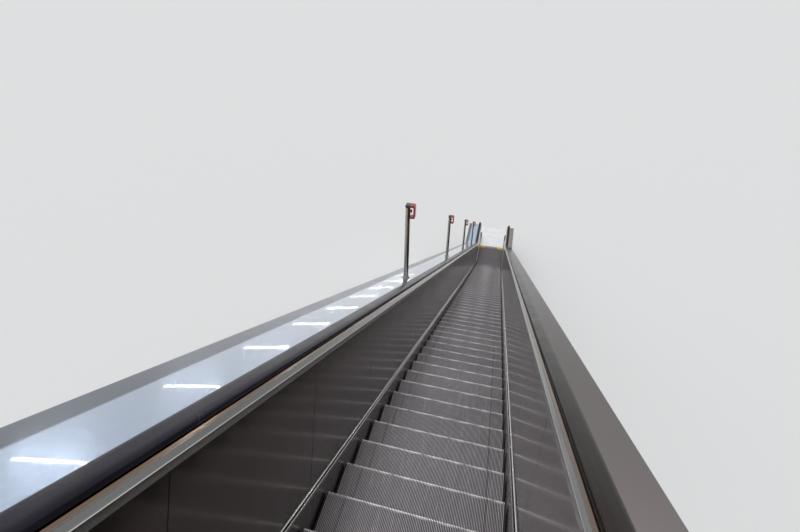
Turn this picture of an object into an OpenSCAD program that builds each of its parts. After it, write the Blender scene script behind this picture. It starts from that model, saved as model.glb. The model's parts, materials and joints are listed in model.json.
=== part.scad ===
// Heavy duty escalator with closed steel balustrades, seen as one whole unit:
// truss, step band, balustrades, handrails, decks and emergency stop posts.
// Frame: +X across (towards the wide deck), +Y uphill, +Z up.
// The origin is the middle of the lower support bracket's bearing face.

/* [Flight] */
// Slope of the flight in degrees
slope = 30; // [27:1:32]
// Number of whole steps that the flight climbs
rise_steps = 66; // [30:1:80]
// Step length measured along the slope
step_pitch = 405; // [400:1:415]

/* [Landings] */
// From the bearing bracket to the lower bend of the step line
lower_run = 3400; // [3300:10:4200]
// From the upper bend of the step line to the upper bracket
upper_run = 3400; // [3300:10:4200]
// From each bend to the tips of the comb teeth
comb_run = 1350; // [1250:10:1400]
// From each bend to the centre of the newel curve
newel_run = 2000; // [1950:10:2050]
// Radius of the step line at the lower bend
lower_bend_r = 2000; // [1800:50:2400]
// Radius of the step line at the upper bend
upper_bend_r = 2600; // [2200:50:3000]

/* [Steps] */
// Width of a step
step_w = 1004; // [804:100:1004]
// Running clearance between steps, and between step and skirt
step_gap = 4; // [3:1:6]
// Thickness of the cast tread
tread_t = 26; // [22:1:32]
// Thickness of the curved riser
riser_t = 12; // [10:1:16]
// Distance between cleats on the landing steps
cleat_pitch = 36; // [30:1:48]
// Depth of the grooves between cleats
groove_d = 12; // [10:1:14]

/* [Balustrade] */
// Top of the handrail above the step line, square to the slope
handrail_h = 890; // [860:5:940]
// Width of the handrail
handrail_w = 85; // [80:1:90]
// Foot of the leaning inner panel from the edge of the step
panel_foot = 26; // [22:1:40]
// Top of the inner panel from the edge of the step
panel_set = 78; // [70:1:90]
// Middle of the handrail from the edge of the step
handrail_set = 143; // [138:1:150]
// Radius of the handrail's middle line round the newels
newel_r = 380; // [360:5:390]
// Top of the skirt above the step line
skirt_h = 92; // [80:1:110]
// Gap at the joints between panels
joint_gap = 3; // [2:1:6]

/* [Decks] */
// Outer deck beside the handrail on the wide side
wide_deck_w = 410; // [300:10:500]
// Outer deck beside the handrail on the narrow side
narrow_deck_w = 175; // [150:5:300]
// Bottom of the handrail above the deck
deck_drop = 16; // [10:1:30]

/* [Stop posts] */
// Height of an emergency stop post
post_h = 1050; // [900:10:1200]
// Diameter of the tube
post_d = 60; // [50:1:70]
// Distance between posts along the deck
post_step = 5800; // [3000:100:7000]
// Middle of a post from the edge of the handrail
post_set = 150; // [100:10:200]
// First post from the lower newel, along the step line
post_lead = 2220; // [700:20:4000]
// Least distance from the last post to the upper newel
post_tail = 5600; // [300:100:7000]

/* [Truss] */
// Depth of the truss square to the slope
truss_depth = 1100; // [1080:10:1300]
// Greatest length of a truss bay on the flight
bay_l = 1400; // [1100:50:1600]
// Width and height of the chords
chord = 80; // [70:5:100]

/* [Hidden] */
$fn = 48;

// A hair of overlap where bodies of one piece meet
eps = 0.01;
// Seam where one straight or curved length of a profile meets the next
seam = 1;
// Steps of the bends and of the newel curve where a line is drawn by points
bend_step = 5;
newel_step = 10;

// Levels and the step line
chord_top = -60;
bearing_drop = 150;
walk_z = bearing_drop - chord_top;
rise = rise_steps * step_pitch * sin(slope);
run = rise / tan(slope);
bend_lo = lower_run;
bend_up = lower_run + run;
tan_lo = lower_bend_r * tan(slope / 2);
tan_up = upper_bend_r * tan(slope / 2);

// Distances along the step line, from 0 where the lower bend starts
s_arc = lower_bend_r * slope * PI / 180;
s_top = s_arc + run / cos(slope) - tan_lo - tan_up;
s_end = s_top + upper_bend_r * slope * PI / 180;
y_flat_lo = bend_lo - tan_lo;
y_flat_up = bend_up + tan_up;
z_lo = walk_z;
z_up = walk_z + rise;

// Points on a line held at height h above the step line
function lower_arc(a, h) = [y_flat_lo + (lower_bend_r - h) * sin(a),
                            z_lo + lower_bend_r - (lower_bend_r - h) * cos(a)];
function upper_arc(a, h) = [y_flat_up - (upper_bend_r + h) * sin(a),
                            z_up - upper_bend_r + (upper_bend_r + h) * cos(a)];
function tilt(s) =
  s <= 0 || s >= s_end ? 0 :
  s < s_arc ? s / lower_bend_r * 180 / PI :
  s <= s_top ? slope : (s_end - s) / upper_bend_r * 180 / PI;
function at(s, h = 0) =
  s <= 0 ? [y_flat_lo + s, z_lo + h] :
  s < s_arc ? lower_arc(tilt(s), h) :
  s <= s_top ? lower_arc(slope, h) + (s - s_arc) * [cos(slope), sin(slope)] :
  s < s_end ? upper_arc(tilt(s), h) : [y_flat_up + s - s_end, z_up + h];
function s_of_low(y) = y - y_flat_lo;
function s_of_up(y) = s_end + y - y_flat_up;

// Place on the step line of a true length q along the line held at height h
function s_on(q, h) =
  let (k_lo = 1 - h / lower_bend_r, k_up = 1 + h / upper_bend_r,
       q_arc = s_arc * k_lo, q_top = q_arc + s_top - s_arc, q_end = q_top + (s_end - s_top) * k_up)
  q < 0 ? q : q < q_arc ? q / k_lo : q < q_top ? q - q_arc + s_arc :
  q < q_end ? s_top + (q - q_top) / k_up : s_end + q - q_end;

// Across the unit: +X side values, mirrored for the other side
half_step = step_w / 2;
skirt_x = half_step + step_gap;
sheet = 6;
foot_x = half_step + panel_foot;
panel_x = half_step + panel_set;
panel_back = panel_x + sheet;
rail_x = half_step + handrail_set;
rail_in = rail_x - handrail_w / 2;
rail_out = rail_x + handrail_w / 2;
upright_x = rail_out + 12;
chord_x = upright_x;
truss_x = chord_x + chord;
web_x = chord_x + chord / 8;
web_w = chord * 3 / 4;
wide_x = rail_out + wide_deck_w;
narrow_x = rail_out + narrow_deck_w;

// Heights above the step line
rail_t = 34;
lip_h = handrail_h - rail_t;
deck_h = lip_h - deck_drop;
deck_under = deck_h - sheet;
seat_h = deck_under - 30;
cover_h = 18;
panel_low = skirt_h + cover_h;
panel_top = seat_h - 14;
newel_h = handrail_h - rail_t / 2 - newel_r;
floor_h = 25;
plate_t = 20;
floor_under = floor_h - plate_t;
truss_low = chord_top - truss_depth;

// Ends of the unit
end_lo = 90;
end_up = bend_up + upper_run - 90;
end_t = 10;
comb_lo = bend_lo - comb_run;
comb_up = bend_up + comb_run;
newel_lo = bend_lo - newel_run;
newel_up = bend_up + newel_run;
turn_lo = comb_lo - step_pitch;
plinth_front = 340;
plinth_back = 180;
plinth_h = 240;
newel_back = 200;

// Nosings: the first step lies just inside the lower comb, the last inside the upper
s_first = s_of_low(comb_lo) - step_pitch;
step_count = ceil((s_of_up(comb_up) - s_first) / step_pitch) + 1;
turn_up = at(s_first + (step_count - 1) * step_pitch)[0];

// Step shape, with the roller places measured from the nosing
tread_l = step_pitch - step_gap - 1;
riser_turn = slope + 1.5;
riser_parts = 6;
axle = [300, -110];
trail = [70, -250];
axle_d = 28;
fit_gap = 0.3;
roller_r = 38;
wheel_r = 330;
chain_half = 25;
chain_x = [half_step + 26, half_step + 44];

// Lattice stations along the step line, end to end
flight_bays = ceil((s_top - s_arc) / bay_l);
flight_stations = [for (i = [0 : flight_bays]) s_arc + (s_top - s_arc) * i / flight_bays];
lower_stations = [s_of_low(end_lo + end_t) + web_w / 2, s_of_low(turn_lo + axle[0]), 0, s_arc - web_w];
upper_stations = [s_top + web_w, s_end, s_of_up(turn_up + axle[0]), s_of_up(end_up - end_t) - web_w / 2];
truss_ends = [s_of_low(end_lo + end_t), s_arc, s_top, s_of_up(end_up - end_t)];
panel_stations = concat([s_of_low(newel_lo + newel_back), 0], flight_stations,
                        [s_end, s_of_up(newel_up - newel_back)]);

// Draws the lengths of a profile from s0 to s1, with a seam where a bend begins or ends.
// The section is drawn as x across and y above the step line.
module sweep(s0, s1) {
  if (s0 < 0) {
    end = s1 > 0 ? -seam / 2 : s1;
    translate([0, y_flat_lo + end, z_lo]) rotate([90, 0, 0]) linear_extrude(end - s0) children();
  }
  if (s0 < s_arc && s1 > 0) {
    a0 = tilt(s0 < 0 ? seam / 2 : max(s0, 0));
    a1 = s1 > s_arc ? tilt(s_arc - seam / 2) : s1 == s_arc ? slope : tilt(s1);
    translate([0, y_flat_lo, z_lo + lower_bend_r])
      rotate([0, 90, 0]) rotate([0, 0, a0]) rotate_extrude(angle = a1 - a0)
        translate([lower_bend_r, 0]) rotate(90) children();
  }
  if (s0 < s_top && s1 > s_arc) {
    q0 = s0 < s_arc ? s_arc + seam / 2 : s0;
    q1 = s1 > s_top ? s_top - seam / 2 : s1;
    translate([0, at(q0)[0], at(q0)[1]])
      rotate([slope, 0, 0]) translate([0, q1 - q0, 0])
        rotate([90, 0, 0]) linear_extrude(q1 - q0) children();
  }
  if (s0 < s_end && s1 > s_top) {
    a0 = s0 < s_top ? tilt(s_top + seam / 2) : s0 == s_top ? slope : tilt(s0);
    a1 = s1 > s_end ? tilt(s_end - seam / 2) : tilt(s1);
    translate([0, y_flat_up, z_up - upper_bend_r])
      rotate([0, -90, 0]) rotate([0, 0, -a0]) rotate_extrude(angle = a0 - a1)
        translate([upper_bend_r, 0]) rotate(-90) children();
  }
  if (s1 > s_end) {
    start = s0 < s_end ? s_end + seam / 2 : s0;
    translate([0, at(s1)[0], z_up]) rotate([90, 0, 0]) linear_extrude(s1 - start) children();
  }
}

// Stations from s0 to s1 with the bends cut into short steps
function bend_stations(s0, s1) = concat([s0],
  [for (a = [0 : bend_step : slope]) if (s_arc * a / slope > s0 && s_arc * a / slope < s1)
    s_arc * a / slope],
  [for (a = [0 : bend_step : slope])
    let (s = s_top + (s_end - s_top) * a / slope) if (s > s0 && s < s1) s], [s1]);

// Side view of a band between heights h0 and h1
module band(s0, s1, h0, h1) {
  line = bend_stations(s0, s1);
  polygon(concat([for (s = line) at(s, h0)],
                 [for (i = [len(line) - 1 : -1 : 0]) at(line[i], h1)]));
}

// Points of a newel curve of radius r, from the top over the front to angle a1
function curve(r, a1) = [for (i = [0 : round(a1 / newel_step)])
  let (a = a1 * i / round(a1 / newel_step)) [-r * sin(a), newel_h + r * cos(a)]];

// Puts children at a place on the step line, turned with the slope
module station(s) {
  translate([0, at(s)[0], at(s)[1]]) rotate([tilt(s), 0, 0]) children();
}

// Turns a section into a plate that stands across the unit
module cross_plate(t) {
  rotate([90, 0, 0]) linear_extrude(t, center = true) children();
}

// Extrudes a side view, drawn as y along and z up, across from x0 to x1
module side_cut(x0, x1) {
  translate([x0, 0, 0]) rotate([90, 0, 90]) linear_extrude(x1 - x0) children();
}

module block(x0, x1, y0, y1, z0, z1) {
  translate([x0, y0, z0]) cube([x1 - x0, y1 - y0, z1 - z0]);
}

// Draws on both sides, or on the side that the sign names
module both_sides() {
  children();
  mirror([1, 0, 0]) children();
}
module on_side(side) {
  if (side > 0) children();
  else mirror([1, 0, 0]) children();
}

// Newel frames: y runs outwards as negative, z from the step line
module lower_newel_frame() {
  translate([0, newel_lo, z_lo]) children();
}
module upper_newel_frame() {
  translate([0, newel_up, z_up]) mirror([0, 1, 0]) children();
}
module both_newels() {
  lower_newel_frame() children();
  upper_newel_frame() children();
}

// Truss
module web_bar(p, q) {
  d = (q - p) / norm(q - p);
  side = web_w / 2 * [-d[1], d[0]];
  polygon([p + side, q + side, q - side, p - side]);
}
module lattice(stations, s0, s1) {
  top = chord_top - chord / 2;
  low = truss_low + chord / 2;
  for (h = [chord_top - chord, truss_low])
    side_cut(chord_x, truss_x) band(s0, s1, h, h + chord);
  side_cut(web_x, web_x + web_w) {
    for (s = stations)
      web_bar(at(s, low), at(s, top));
    for (i = [0 : len(stations) - 2])
      web_bar(at(stations[i], i % 2 == 0 ? low : top),
              at(stations[i + 1], i % 2 == 0 ? top : low));
  }
}
module truss_side(side, part) {
  web_stations = part == 0 ? lower_stations : part == 2 ? upper_stations :
    [for (s = flight_stations) max(s_arc + web_w, min(s_top - web_w, s))];
  color("dimgray") on_side(side) lattice(web_stations, truss_ends[part], truss_ends[part + 1]);
}

module truss_cross_bars() {
  bar = 60;
  color("dimgray") {
    for (s = concat(lower_stations, [for (i = [1 : flight_bays - 1]) flight_stations[i]], upper_stations))
      station(s) translate([-chord_x, -bar / 2, truss_low + chord / 2 - bar / 2])
        cube([2 * chord_x, bar, bar]);
    for (i = [1 : flight_bays - 1])
      station(flight_stations[i]) translate([-web_x, -bar / 2, truss_low + truss_depth / 2])
        cube([2 * web_x, bar, bar]);
  }
}

module soffit_plates() {
  color("gray") for (i = [0 : 2])
    side_cut(-truss_x, truss_x)
      band(truss_ends[i], truss_ends[i + 1] - seam, truss_low - sheet, truss_low);
}

module end_plate(y, z) {
  block(-chord_x - chord, chord_x + chord, y, y + end_t, z + truss_low, z + chord_top);
}
module lower_end_plate() { color("dimgray") end_plate(end_lo, z_lo); }
module upper_end_plate() { color("dimgray") end_plate(end_up - end_t, z_up); }

// An angle that lies on the building's edge, with gussets
gussets = 5;
module bracket() {
  t = 25;
  tall = bearing_drop - t;
  side_cut(-truss_x, truss_x)
    polygon([[-end_lo, 0], [end_lo, 0], [end_lo, tall], [end_lo - t, tall],
             [end_lo - t, t], [-end_lo, t]]);
  for (i = [0 : gussets - 1]) {
    x = -truss_x + (2 * truss_x - t) * i / (gussets - 1);
    side_cut(x, x + t) polygon([[-end_lo / 2, t], [end_lo - t, t], [end_lo - t, tall - t]]);
  }
}
module lower_bracket() { color("slategray") bracket(); }
module upper_bracket() {
  color("slategray") translate([0, end_up + end_lo, z_up - z_lo]) mirror([0, 1, 0]) bracket();
}

// Rails under the rollers, in lengths, on the load side and on the return side
track_x = [half_step + 26, web_x];
track_ends = [s_of_low(turn_lo) + wheel_r, 0, s_arc, s_top, s_end, s_of_up(turn_up) - wheel_r];
module track(side) {
  rail = 40;
  color("gray") on_side(side) translate([0, axle[0], axle[1]])
    for (h = [0, -2 * wheel_r])
      for (i = [0 : len(track_ends) - 2])
        side_cut(track_x[0], track_x[1])
          band(track_ends[i], track_ends[i + 1] - joint_gap, h - roller_r - rail, h - roller_r - fit_gap);
}

// One fixed loop of step chain: out on top, round both wheels and back below
function turn_points(r, a0, a1) =
  [for (a = [a0 : newel_step : a1]) [r * sin(a), r * cos(a) - wheel_r]];
function chain_line(off) = concat(
  [for (s = bend_stations(s_of_low(turn_lo), s_of_up(turn_up))) at(s, off)],
  [for (p = turn_points(wheel_r + off, newel_step, 180 - newel_step)) [turn_up, z_up] + p],
  let (line = bend_stations(s_of_low(turn_lo), s_of_up(turn_up)))
    [for (i = [len(line) - 1 : -1 : 0]) at(line[i], -2 * wheel_r - off)],
  [for (p = turn_points(wheel_r + off, 180 + newel_step, 360 - newel_step)) [turn_lo, z_lo] + p]);
module step_chain(side) {
  color("darkslategray") on_side(side) translate([0, axle[0], axle[1]])
    side_cut(chain_x[0], chain_x[1]) difference() {
      polygon(chain_line(chain_half));
      polygon(chain_line(-chain_half));
    }
}

// A pair of chain wheels on their shaft
shaft_d = 90;
module wheel_pair(y, z) {
  rim = (wheel_r - chain_half) * cos(newel_step / 2) - fit_gap;
  translate([0, y + axle[0], z + axle[1] - wheel_r]) rotate([0, 90, 0]) {
    cylinder(d = shaft_d, h = 2 * web_x, center = true);
    for (x = [-1, 1])
      translate([0, 0, x * (chain_x[0] + chain_x[1]) / 2])
        cylinder(r = rim, h = chain_x[1] - chain_x[0], center = true);
  }
}
module lower_turn_wheels() { color("gray") wheel_pair(turn_lo, z_lo); }
module upper_drive_wheels() { color("gray") wheel_pair(turn_up, z_up); }

// Gear case and motor on a bed that spans the bottom chords
bed_gap = 280;
bed_bar = [70, 40];
gear_case = [360, 300, 380];
motor = [260, 330];
fan_cover = [220, 60];
module drive_machine() {
  y0 = turn_up + axle[0] + wheel_r + bed_gap;
  bed = z_up + truss_low + chord;
  bed_x = truss_x - chord / 4;
  color("steelblue") {
    for (y = [y0 + bed_bar[0] / 2, y0 + gear_case[1] - 1.5 * bed_bar[0]])
      block(-bed_x, bed_x, y, y + bed_bar[0], bed, bed + bed_bar[1]);
    translate([-gear_case[0] / 2, y0, bed + bed_bar[1]]) cube(gear_case);
    translate([0, y0 + gear_case[1] / 2, bed + bed_bar[1] + gear_case[2]]) {
      cylinder(d = motor[0], h = motor[1]);
      translate([0, 0, motor[1]]) cylinder(d = fan_cover[0], h = fan_cover[1]);
    }
  }
}

// Side view of a step: level tread, curved riser struck from the tread's back edge
function riser_point(i, r) =
  let (a = riser_turn * i / riser_parts) [tread_l - r * cos(a), -r * sin(a)];
module step_outline() {
  inner = tread_l - riser_t;
  first = asin(tread_t / inner) * riser_parts / riser_turn;
  polygon(concat([[tread_l, 0]],
    [for (i = [0 : riser_parts]) riser_point(i, tread_l)],
    [for (i = [riser_parts : -1 : 1]) riser_point(i, inner)],
    [riser_point(first, inner)],
    [[tread_l, -tread_t]]));
}
rib_t = 10;
rib_wrap = 30;
module step_rib() {
  inner = tread_l - riser_t + 2;
  polygon([[riser_t, -tread_t + eps], [tread_l - rib_wrap, -tread_t + eps],
           axle + [rib_wrap, -rib_wrap], axle - [rib_wrap, rib_wrap],
           [trail[0], -tread_l * sin(riser_turn) + riser_t],
           riser_point(riser_parts - 1, inner), riser_point(riser_parts / 2, inner)]);
}
cleats = floor((step_w - 2 * cleat_pitch / 3) / cleat_pitch);
groove_half = 0.28 * cleat_pitch;
function groove_x(i) = (i - (cleats - 1) / 2) * cleat_pitch;
module step(grooved = false) {
  difference() {
    union() {
      side_cut(-half_step, half_step) step_outline();
      for (x = [-half_step + 2 * rib_t, half_step - 3 * rib_t])
        side_cut(x, x + rib_t) step_rib();
      translate([-chain_x[0], axle[0], axle[1]]) rotate([0, 90, 0])
        cylinder(d = axle_d, h = 2 * chain_x[0]);
    }
    if (grooved)
      for (i = [0 : cleats - 1])
        block(groove_x(i) - groove_half, groove_x(i) + groove_half, -1, tread_l + 1, -groove_d, 1);
  }
}

function step_s(k) = s_first + k * step_pitch;
function on_landing(k) = step_s(k) < -step_pitch || step_s(k) > s_end;
module place_step(k) {
  translate([0, at(step_s(k))[0], at(step_s(k))[1]]) children();
}
module flight_steps() {
  color("silver") for (k = [0 : step_count - 1]) if (!on_landing(k)) place_step(k) step();
}
module landing_steps() {
  color("silver") for (k = [0 : step_count - 1]) if (on_landing(k)) place_step(k) step(true);
}

// Steps that hang upside down below, and those on the turns
turn_a = step_pitch / wheel_r * 180 / PI;
past_turn = 3 * step_pitch - PI * wheel_r;
tread_line = -2 * wheel_r + axle[1];
line_extra = (-tread_line / lower_bend_r) * s_arc + (tread_line / upper_bend_r) * (s_end - s_top);
return_first = s_of_low(turn_lo) + past_turn;
return_span = s_of_up(turn_up) + line_extra - past_turn - return_first;
return_count = floor(return_span / step_pitch);
module hung_step() {
  translate([0, -axle[0], -axle[1]]) step();
}
module return_steps() {
  color("darkgray") translate([0, axle[0], axle[1]]) {
    for (k = [0 : return_count]) {
      s = s_on(return_first + k * return_span / return_count, tread_line);
      p = at(s, -2 * wheel_r);
      translate([0, p[0], p[1]]) rotate([tilt(s) + 180, 0, 0]) hung_step();
    }
    for (a = [turn_a, 2 * turn_a]) {
      translate([0, turn_lo, z_lo - wheel_r]) rotate([a, 0, 0])
        translate([0, 0, wheel_r]) hung_step();
      translate([0, turn_up, z_up - wheel_r]) rotate([-a, 0, 0])
        translate([0, 0, wheel_r]) hung_step();
    }
  }
}

module step_rollers() {
  roller_w = 22;
  color("black") for (k = [0 : step_count - 1]) place_step(k) both_sides()
    translate([chain_x[1], axle[0], axle[1]]) rotate([0, 90, 0])
      cylinder(r = roller_r, h = roller_w);
}

// Comb plate with teeth that reach into the grooves
comb_back = 170;
tooth_l = 60;
tooth_half = 0.2 * cleat_pitch;
tooth_root = [3, 16];
module comb(y, z, out) {
  low = tooth_root[0] + 1;
  top = tooth_root[1] - 1;
  translate([0, y, z]) mirror([0, out < 0 ? 0 : 1, 0]) {
    side_cut(-skirt_x, skirt_x)
      polygon([[-comb_back, floor_under], [-tooth_l, tooth_root[0]], [-tooth_l, tooth_root[1]],
               [-comb_back, floor_h]]);
    for (i = [0 : cleats - 1])
      side_cut(groove_x(i) - tooth_half, groove_x(i) + tooth_half)
        polygon([[-tooth_l - sheet, low], [-tooth_l, low], [-tooth_l / 2, -groove_d / 2],
                 [0, -groove_d / 2], [0, -groove_d / 4], [-tooth_l, top], [-tooth_l - sheet, top]]);
  }
}
module lower_comb() { color("gold") comb(comb_lo, z_lo, -1); }
module upper_comb() { color("gold") comb(comb_up, z_up, 1); }

// Access covers of the landings: full width outside the newels, narrow between them
module floor_plate(outer, front, inner, z) {
  block(-truss_x, truss_x, outer, front, z + floor_under, z + floor_h);
  block(-skirt_x, skirt_x, front, inner, z + floor_under, z + floor_h);
}
module lower_floor_plate() {
  color("lightgray") floor_plate(end_lo, newel_lo - plinth_front, comb_lo - comb_back, z_lo);
}
module upper_floor_plate() {
  color("lightgray") translate([0, end_lo + end_up, 0]) mirror([0, 1, 0])
    floor_plate(end_lo, end_lo + end_up - newel_up - plinth_front,
                end_lo + end_up - comb_up - comb_back, z_up);
}
module floor_bars() {
  bar = 60;
  span_lo = newel_lo - plinth_front - end_lo - bar;
  span_up = end_up - newel_up - plinth_front - bar;
  color("dimgray") for (i = [0 : 2]) {
    block(-truss_x, truss_x, end_lo + span_lo * i / 2, end_lo + span_lo * i / 2 + bar,
          z_lo + chord_top, z_lo + floor_under);
    block(-truss_x, truss_x, end_up - span_up * i / 2 - bar, end_up - span_up * i / 2,
          z_up + chord_top, z_up + floor_under);
  }
}

// Balustrade, one side at a time
skirt_ends = [s_of_low(newel_lo - plinth_back), s_of_up(newel_up + plinth_back)];
skirt_stations = concat([skirt_ends[0], 0, s_arc / 2], flight_stations,
                        [(s_top + s_end) / 2, s_end, skirt_ends[1]]);
// The skirt reaches just above the step axles, which hang lower as the slope grows
function skirt_drop(s0, s1) =
  let (a = min(tilt(s0), tilt(s1)))
  axle[0] * sin(a) - axle[1] * cos(a) - axle_d / 2 - 2 * step_gap;
module skirt(side) {
  color("darkgray") on_side(side) for (i = [0 : len(skirt_stations) - 2]) {
    s0 = skirt_stations[i];
    s1 = skirt_stations[i + 1];
    drop = skirt_drop(s0, s1);
    sweep(s0, s1 - (i < len(skirt_stations) - 2 ? joint_gap : 0))
      translate([skirt_x, -drop]) square([sheet, drop + skirt_h]);
  }
}
// Narrow cover set back from the skirt, with a flange under the panel's foot
cover_lip = 8;
cover_gap = 3;
module skirt_cover(side) {
  back = panel_low - sheet;
  front = skirt_x + cover_gap;
  color("silver") on_side(side) sweep(skirt_ends[0], skirt_ends[1])
    polygon([[front, skirt_h], [front, skirt_h + cover_lip], [foot_x - cover_lip, panel_low],
             [panel_back, panel_low], [panel_back, back], [foot_x - cover_lip / 2, back],
             [front + sheet, skirt_h + cover_lip / 2], [front + sheet, skirt_h]]);
}
// The panels lean outwards, and a plate closes each end beside the upright newel
module inner_panels(side) {
  last = len(panel_stations) - 1;
  color("gray") on_side(side) {
    for (i = [0 : last - 1])
      sweep(panel_stations[i] + joint_gap / 2, panel_stations[i + 1] - joint_gap / 2)
        polygon([[foot_x, panel_low], [foot_x + sheet, panel_low], [panel_back, panel_top],
                 [panel_x, panel_top]]);
    for (s = [panel_stations[0] + joint_gap / 2, panel_stations[last] - joint_gap / 2 - sheet])
      sweep(s, s + sheet) polygon([[foot_x, panel_low], [panel_back, panel_low], [panel_back, panel_top],
                                   [panel_x, panel_top]]);
  }
}

// Top profile between the panel and the handrail, carried on round the newels
guide_web = 38;
bead = 8;
profile_face = 27;
module profile_section() {
  web = rail_x - guide_web / 2;
  foot = panel_top + bead;
  polygon([[panel_x, panel_top], [panel_x - bead, foot], [panel_x - bead, foot + profile_face],
           [panel_x + bead, lip_h - 1.5 * bead], [web, lip_h - bead], [web, seat_h],
           [panel_back, seat_h], [panel_back, panel_top]]);
}
newel_sweep = 120;
module newelled(sweep_a) {
  sweep(s_of_low(newel_lo) + seam, s_of_up(newel_up) - seam) children();
  both_newels() newel_arc(sweep_a) children();
}
module newel_arc(sweep_a) {
  translate([0, 0, newel_h]) rotate([0, -90, 0]) rotate([0, 0, -sweep_a])
    rotate_extrude(angle = sweep_a) translate([-newel_h, 0]) rotate(-90) children();
}
module rail_profile(side) {
  color("silver") on_side(side) newelled(newel_sweep) profile_section();
}

// Guide under the handrail, in lengths: a flange inside the handrail on a wide web
flange_w = 60;
mouth_half = 22;
slot_half = 32;
slot_h = [11, 24];
flange_h = [lip_h + slot_h[0] + 2, lip_h + slot_h[1] - fit_gap];
guide_ends = [s_of_low(newel_lo) + joint_gap, 0, s_arc, s_top, s_end, s_of_up(newel_up)];
module newel_guide(h0, h1) {
  n = len(curve(1, newel_sweep));
  polygon(concat(curve(h1 - newel_h, newel_sweep),
                 [for (i = [n - 1 : -1 : 0]) curve(h0 - newel_h, newel_sweep)[i]]));
}
module handrail_guide(side) {
  web = [rail_x - guide_web / 2, rail_x + guide_web / 2];
  flange = [rail_x - flange_w / 2, rail_x + flange_w / 2];
  color("dimgray") on_side(side) {
    for (i = [0 : len(guide_ends) - 2]) {
      s0 = guide_ends[i];
      s1 = guide_ends[i + 1] - joint_gap;
      side_cut(web[0], web[1]) band(s0, s1, seat_h, flange_h[1]);
      side_cut(flange[0], flange[1]) band(s0, s1, flange_h[0], flange_h[1]);
    }
    both_newels() {
      side_cut(web[0], web[1]) newel_guide(seat_h, flange_h[1]);
      side_cut(flange[0], flange[1]) newel_guide(flange_h[0], flange_h[1]);
    }
  }
}

// The handrail is a C that wraps the guide, open towards the inside of its loop
half_rail = handrail_w / 2;
rail_cut = 14;
rail_edge = 5;
handrail_outline = [
  [-mouth_half, 0], [-half_rail + rail_edge, 0], [-half_rail, rail_edge], [-half_rail, rail_t - rail_cut],
  [-half_rail + rail_cut / 3, rail_t - rail_cut / 3], [-half_rail + rail_cut, rail_t],
  [half_rail - rail_cut, rail_t], [half_rail - rail_cut / 3, rail_t - rail_cut / 3],
  [half_rail, rail_t - rail_cut], [half_rail, rail_edge], [half_rail - rail_edge, 0], [mouth_half, 0],
  [mouth_half, slot_h[0]], [slot_half, slot_h[0]], [slot_half, slot_h[1]],
  [-slot_half, slot_h[1]], [-slot_half, slot_h[0]], [-mouth_half, slot_h[0]]];
function rail_ring(s, flip) = [for (p = handrail_outline)
  let (h = flip ? 2 * newel_h - lip_h - p[1] : lip_h + p[1], q = at(s, h)) [rail_x + p[0], q[0], q[1]]];
function newel_ring(a, y, z, out) = [for (p = handrail_outline)
  let (r = lip_h + p[1] - newel_h)
  [rail_x + p[0], y + out * r * sin(a), z + newel_h + r * cos(a)]];
module handrail(side) {
  line = bend_stations(s_of_low(newel_lo), s_of_up(newel_up));
  turns = [newel_step : newel_step : 180 - newel_step];
  rings = concat([for (s = line) rail_ring(s, false)],
                 [for (a = turns) newel_ring(a, newel_up, z_up, 1)],
                 [for (i = [len(line) - 1 : -1 : 0]) rail_ring(line[i], true)],
                 [for (a = turns) newel_ring(180 - a, newel_lo, z_lo, -1)]);
  n = len(handrail_outline);
  m = len(rings);
  color("black") on_side(side)
    polyhedron([for (ring = rings) each ring],
               [for (i = [0 : m - 1]) for (j = [0 : n - 1])
                 let (a = i * n + j, b = i * n + (j + 1) % n, c = (i + 1) % m * n + j,
                      d = (i + 1) % m * n + (j + 1) % n)
                 each [[a, b, d], [a, d, c]]]);
}

// Newel: two side sheets and a rim inside the handrail's curve
module newel_sheet(r) {
  polygon(concat([[newel_back, panel_low], [newel_back, newel_h + r]],
                 [for (p = curve(r, 145)) if (p[0] > -plinth_back || p[1] > newel_h) p],
                 [[-plinth_back, newel_h - sqrt(r * r - plinth_back * plinth_back)],
                  [-plinth_back, panel_low]]));
}
module newel_rim(r0, r1) {
  n = len(curve(1, newel_sweep));
  polygon(concat([[newel_back, newel_h + r1]], curve(r1, newel_sweep),
                 [for (i = [n - 1 : -1 : 0]) curve(r0, newel_sweep)[i]],
                 [[newel_back, newel_h + r0]]));
}
module newel_side() {
  r_in = panel_top - newel_h;
  r_rim = seat_h - newel_h;
  side_cut(panel_x, panel_back) newel_sheet(r_in);
  side_cut(upright_x - sheet, upright_x) newel_sheet(r_rim - sheet);
  side_cut(panel_back, upright_x) newel_rim(r_rim - sheet, r_rim);
}
module lower_newels() { color("gray") both_sides() lower_newel_frame() newel_side(); }
module upper_newels() { color("gray") both_sides() upper_newel_frame() newel_side(); }

// Hollow foot in front of each newel, open behind, with the handrail's way in
collar_in = 14;
collar_out = 8;
collar_gap = 3;
plinth_x = truss_x - 10;
module plinth() {
  difference() {
    block(skirt_x, plinth_x, -plinth_front, -plinth_back, floor_h, plinth_h);
    block(skirt_x + sheet, plinth_x - sheet, -plinth_front + sheet, -plinth_back + 1,
          floor_h - 1, plinth_h - sheet);
    block(rail_in - collar_in, rail_out + collar_out, -plinth_front + sheet + 1,
          -plinth_back - 3 * sheet, plinth_h - 2 * sheet, plinth_h + 1);
  }
}
module newel_plinths() {
  color("gray") both_sides() both_newels() plinth();
}

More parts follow.
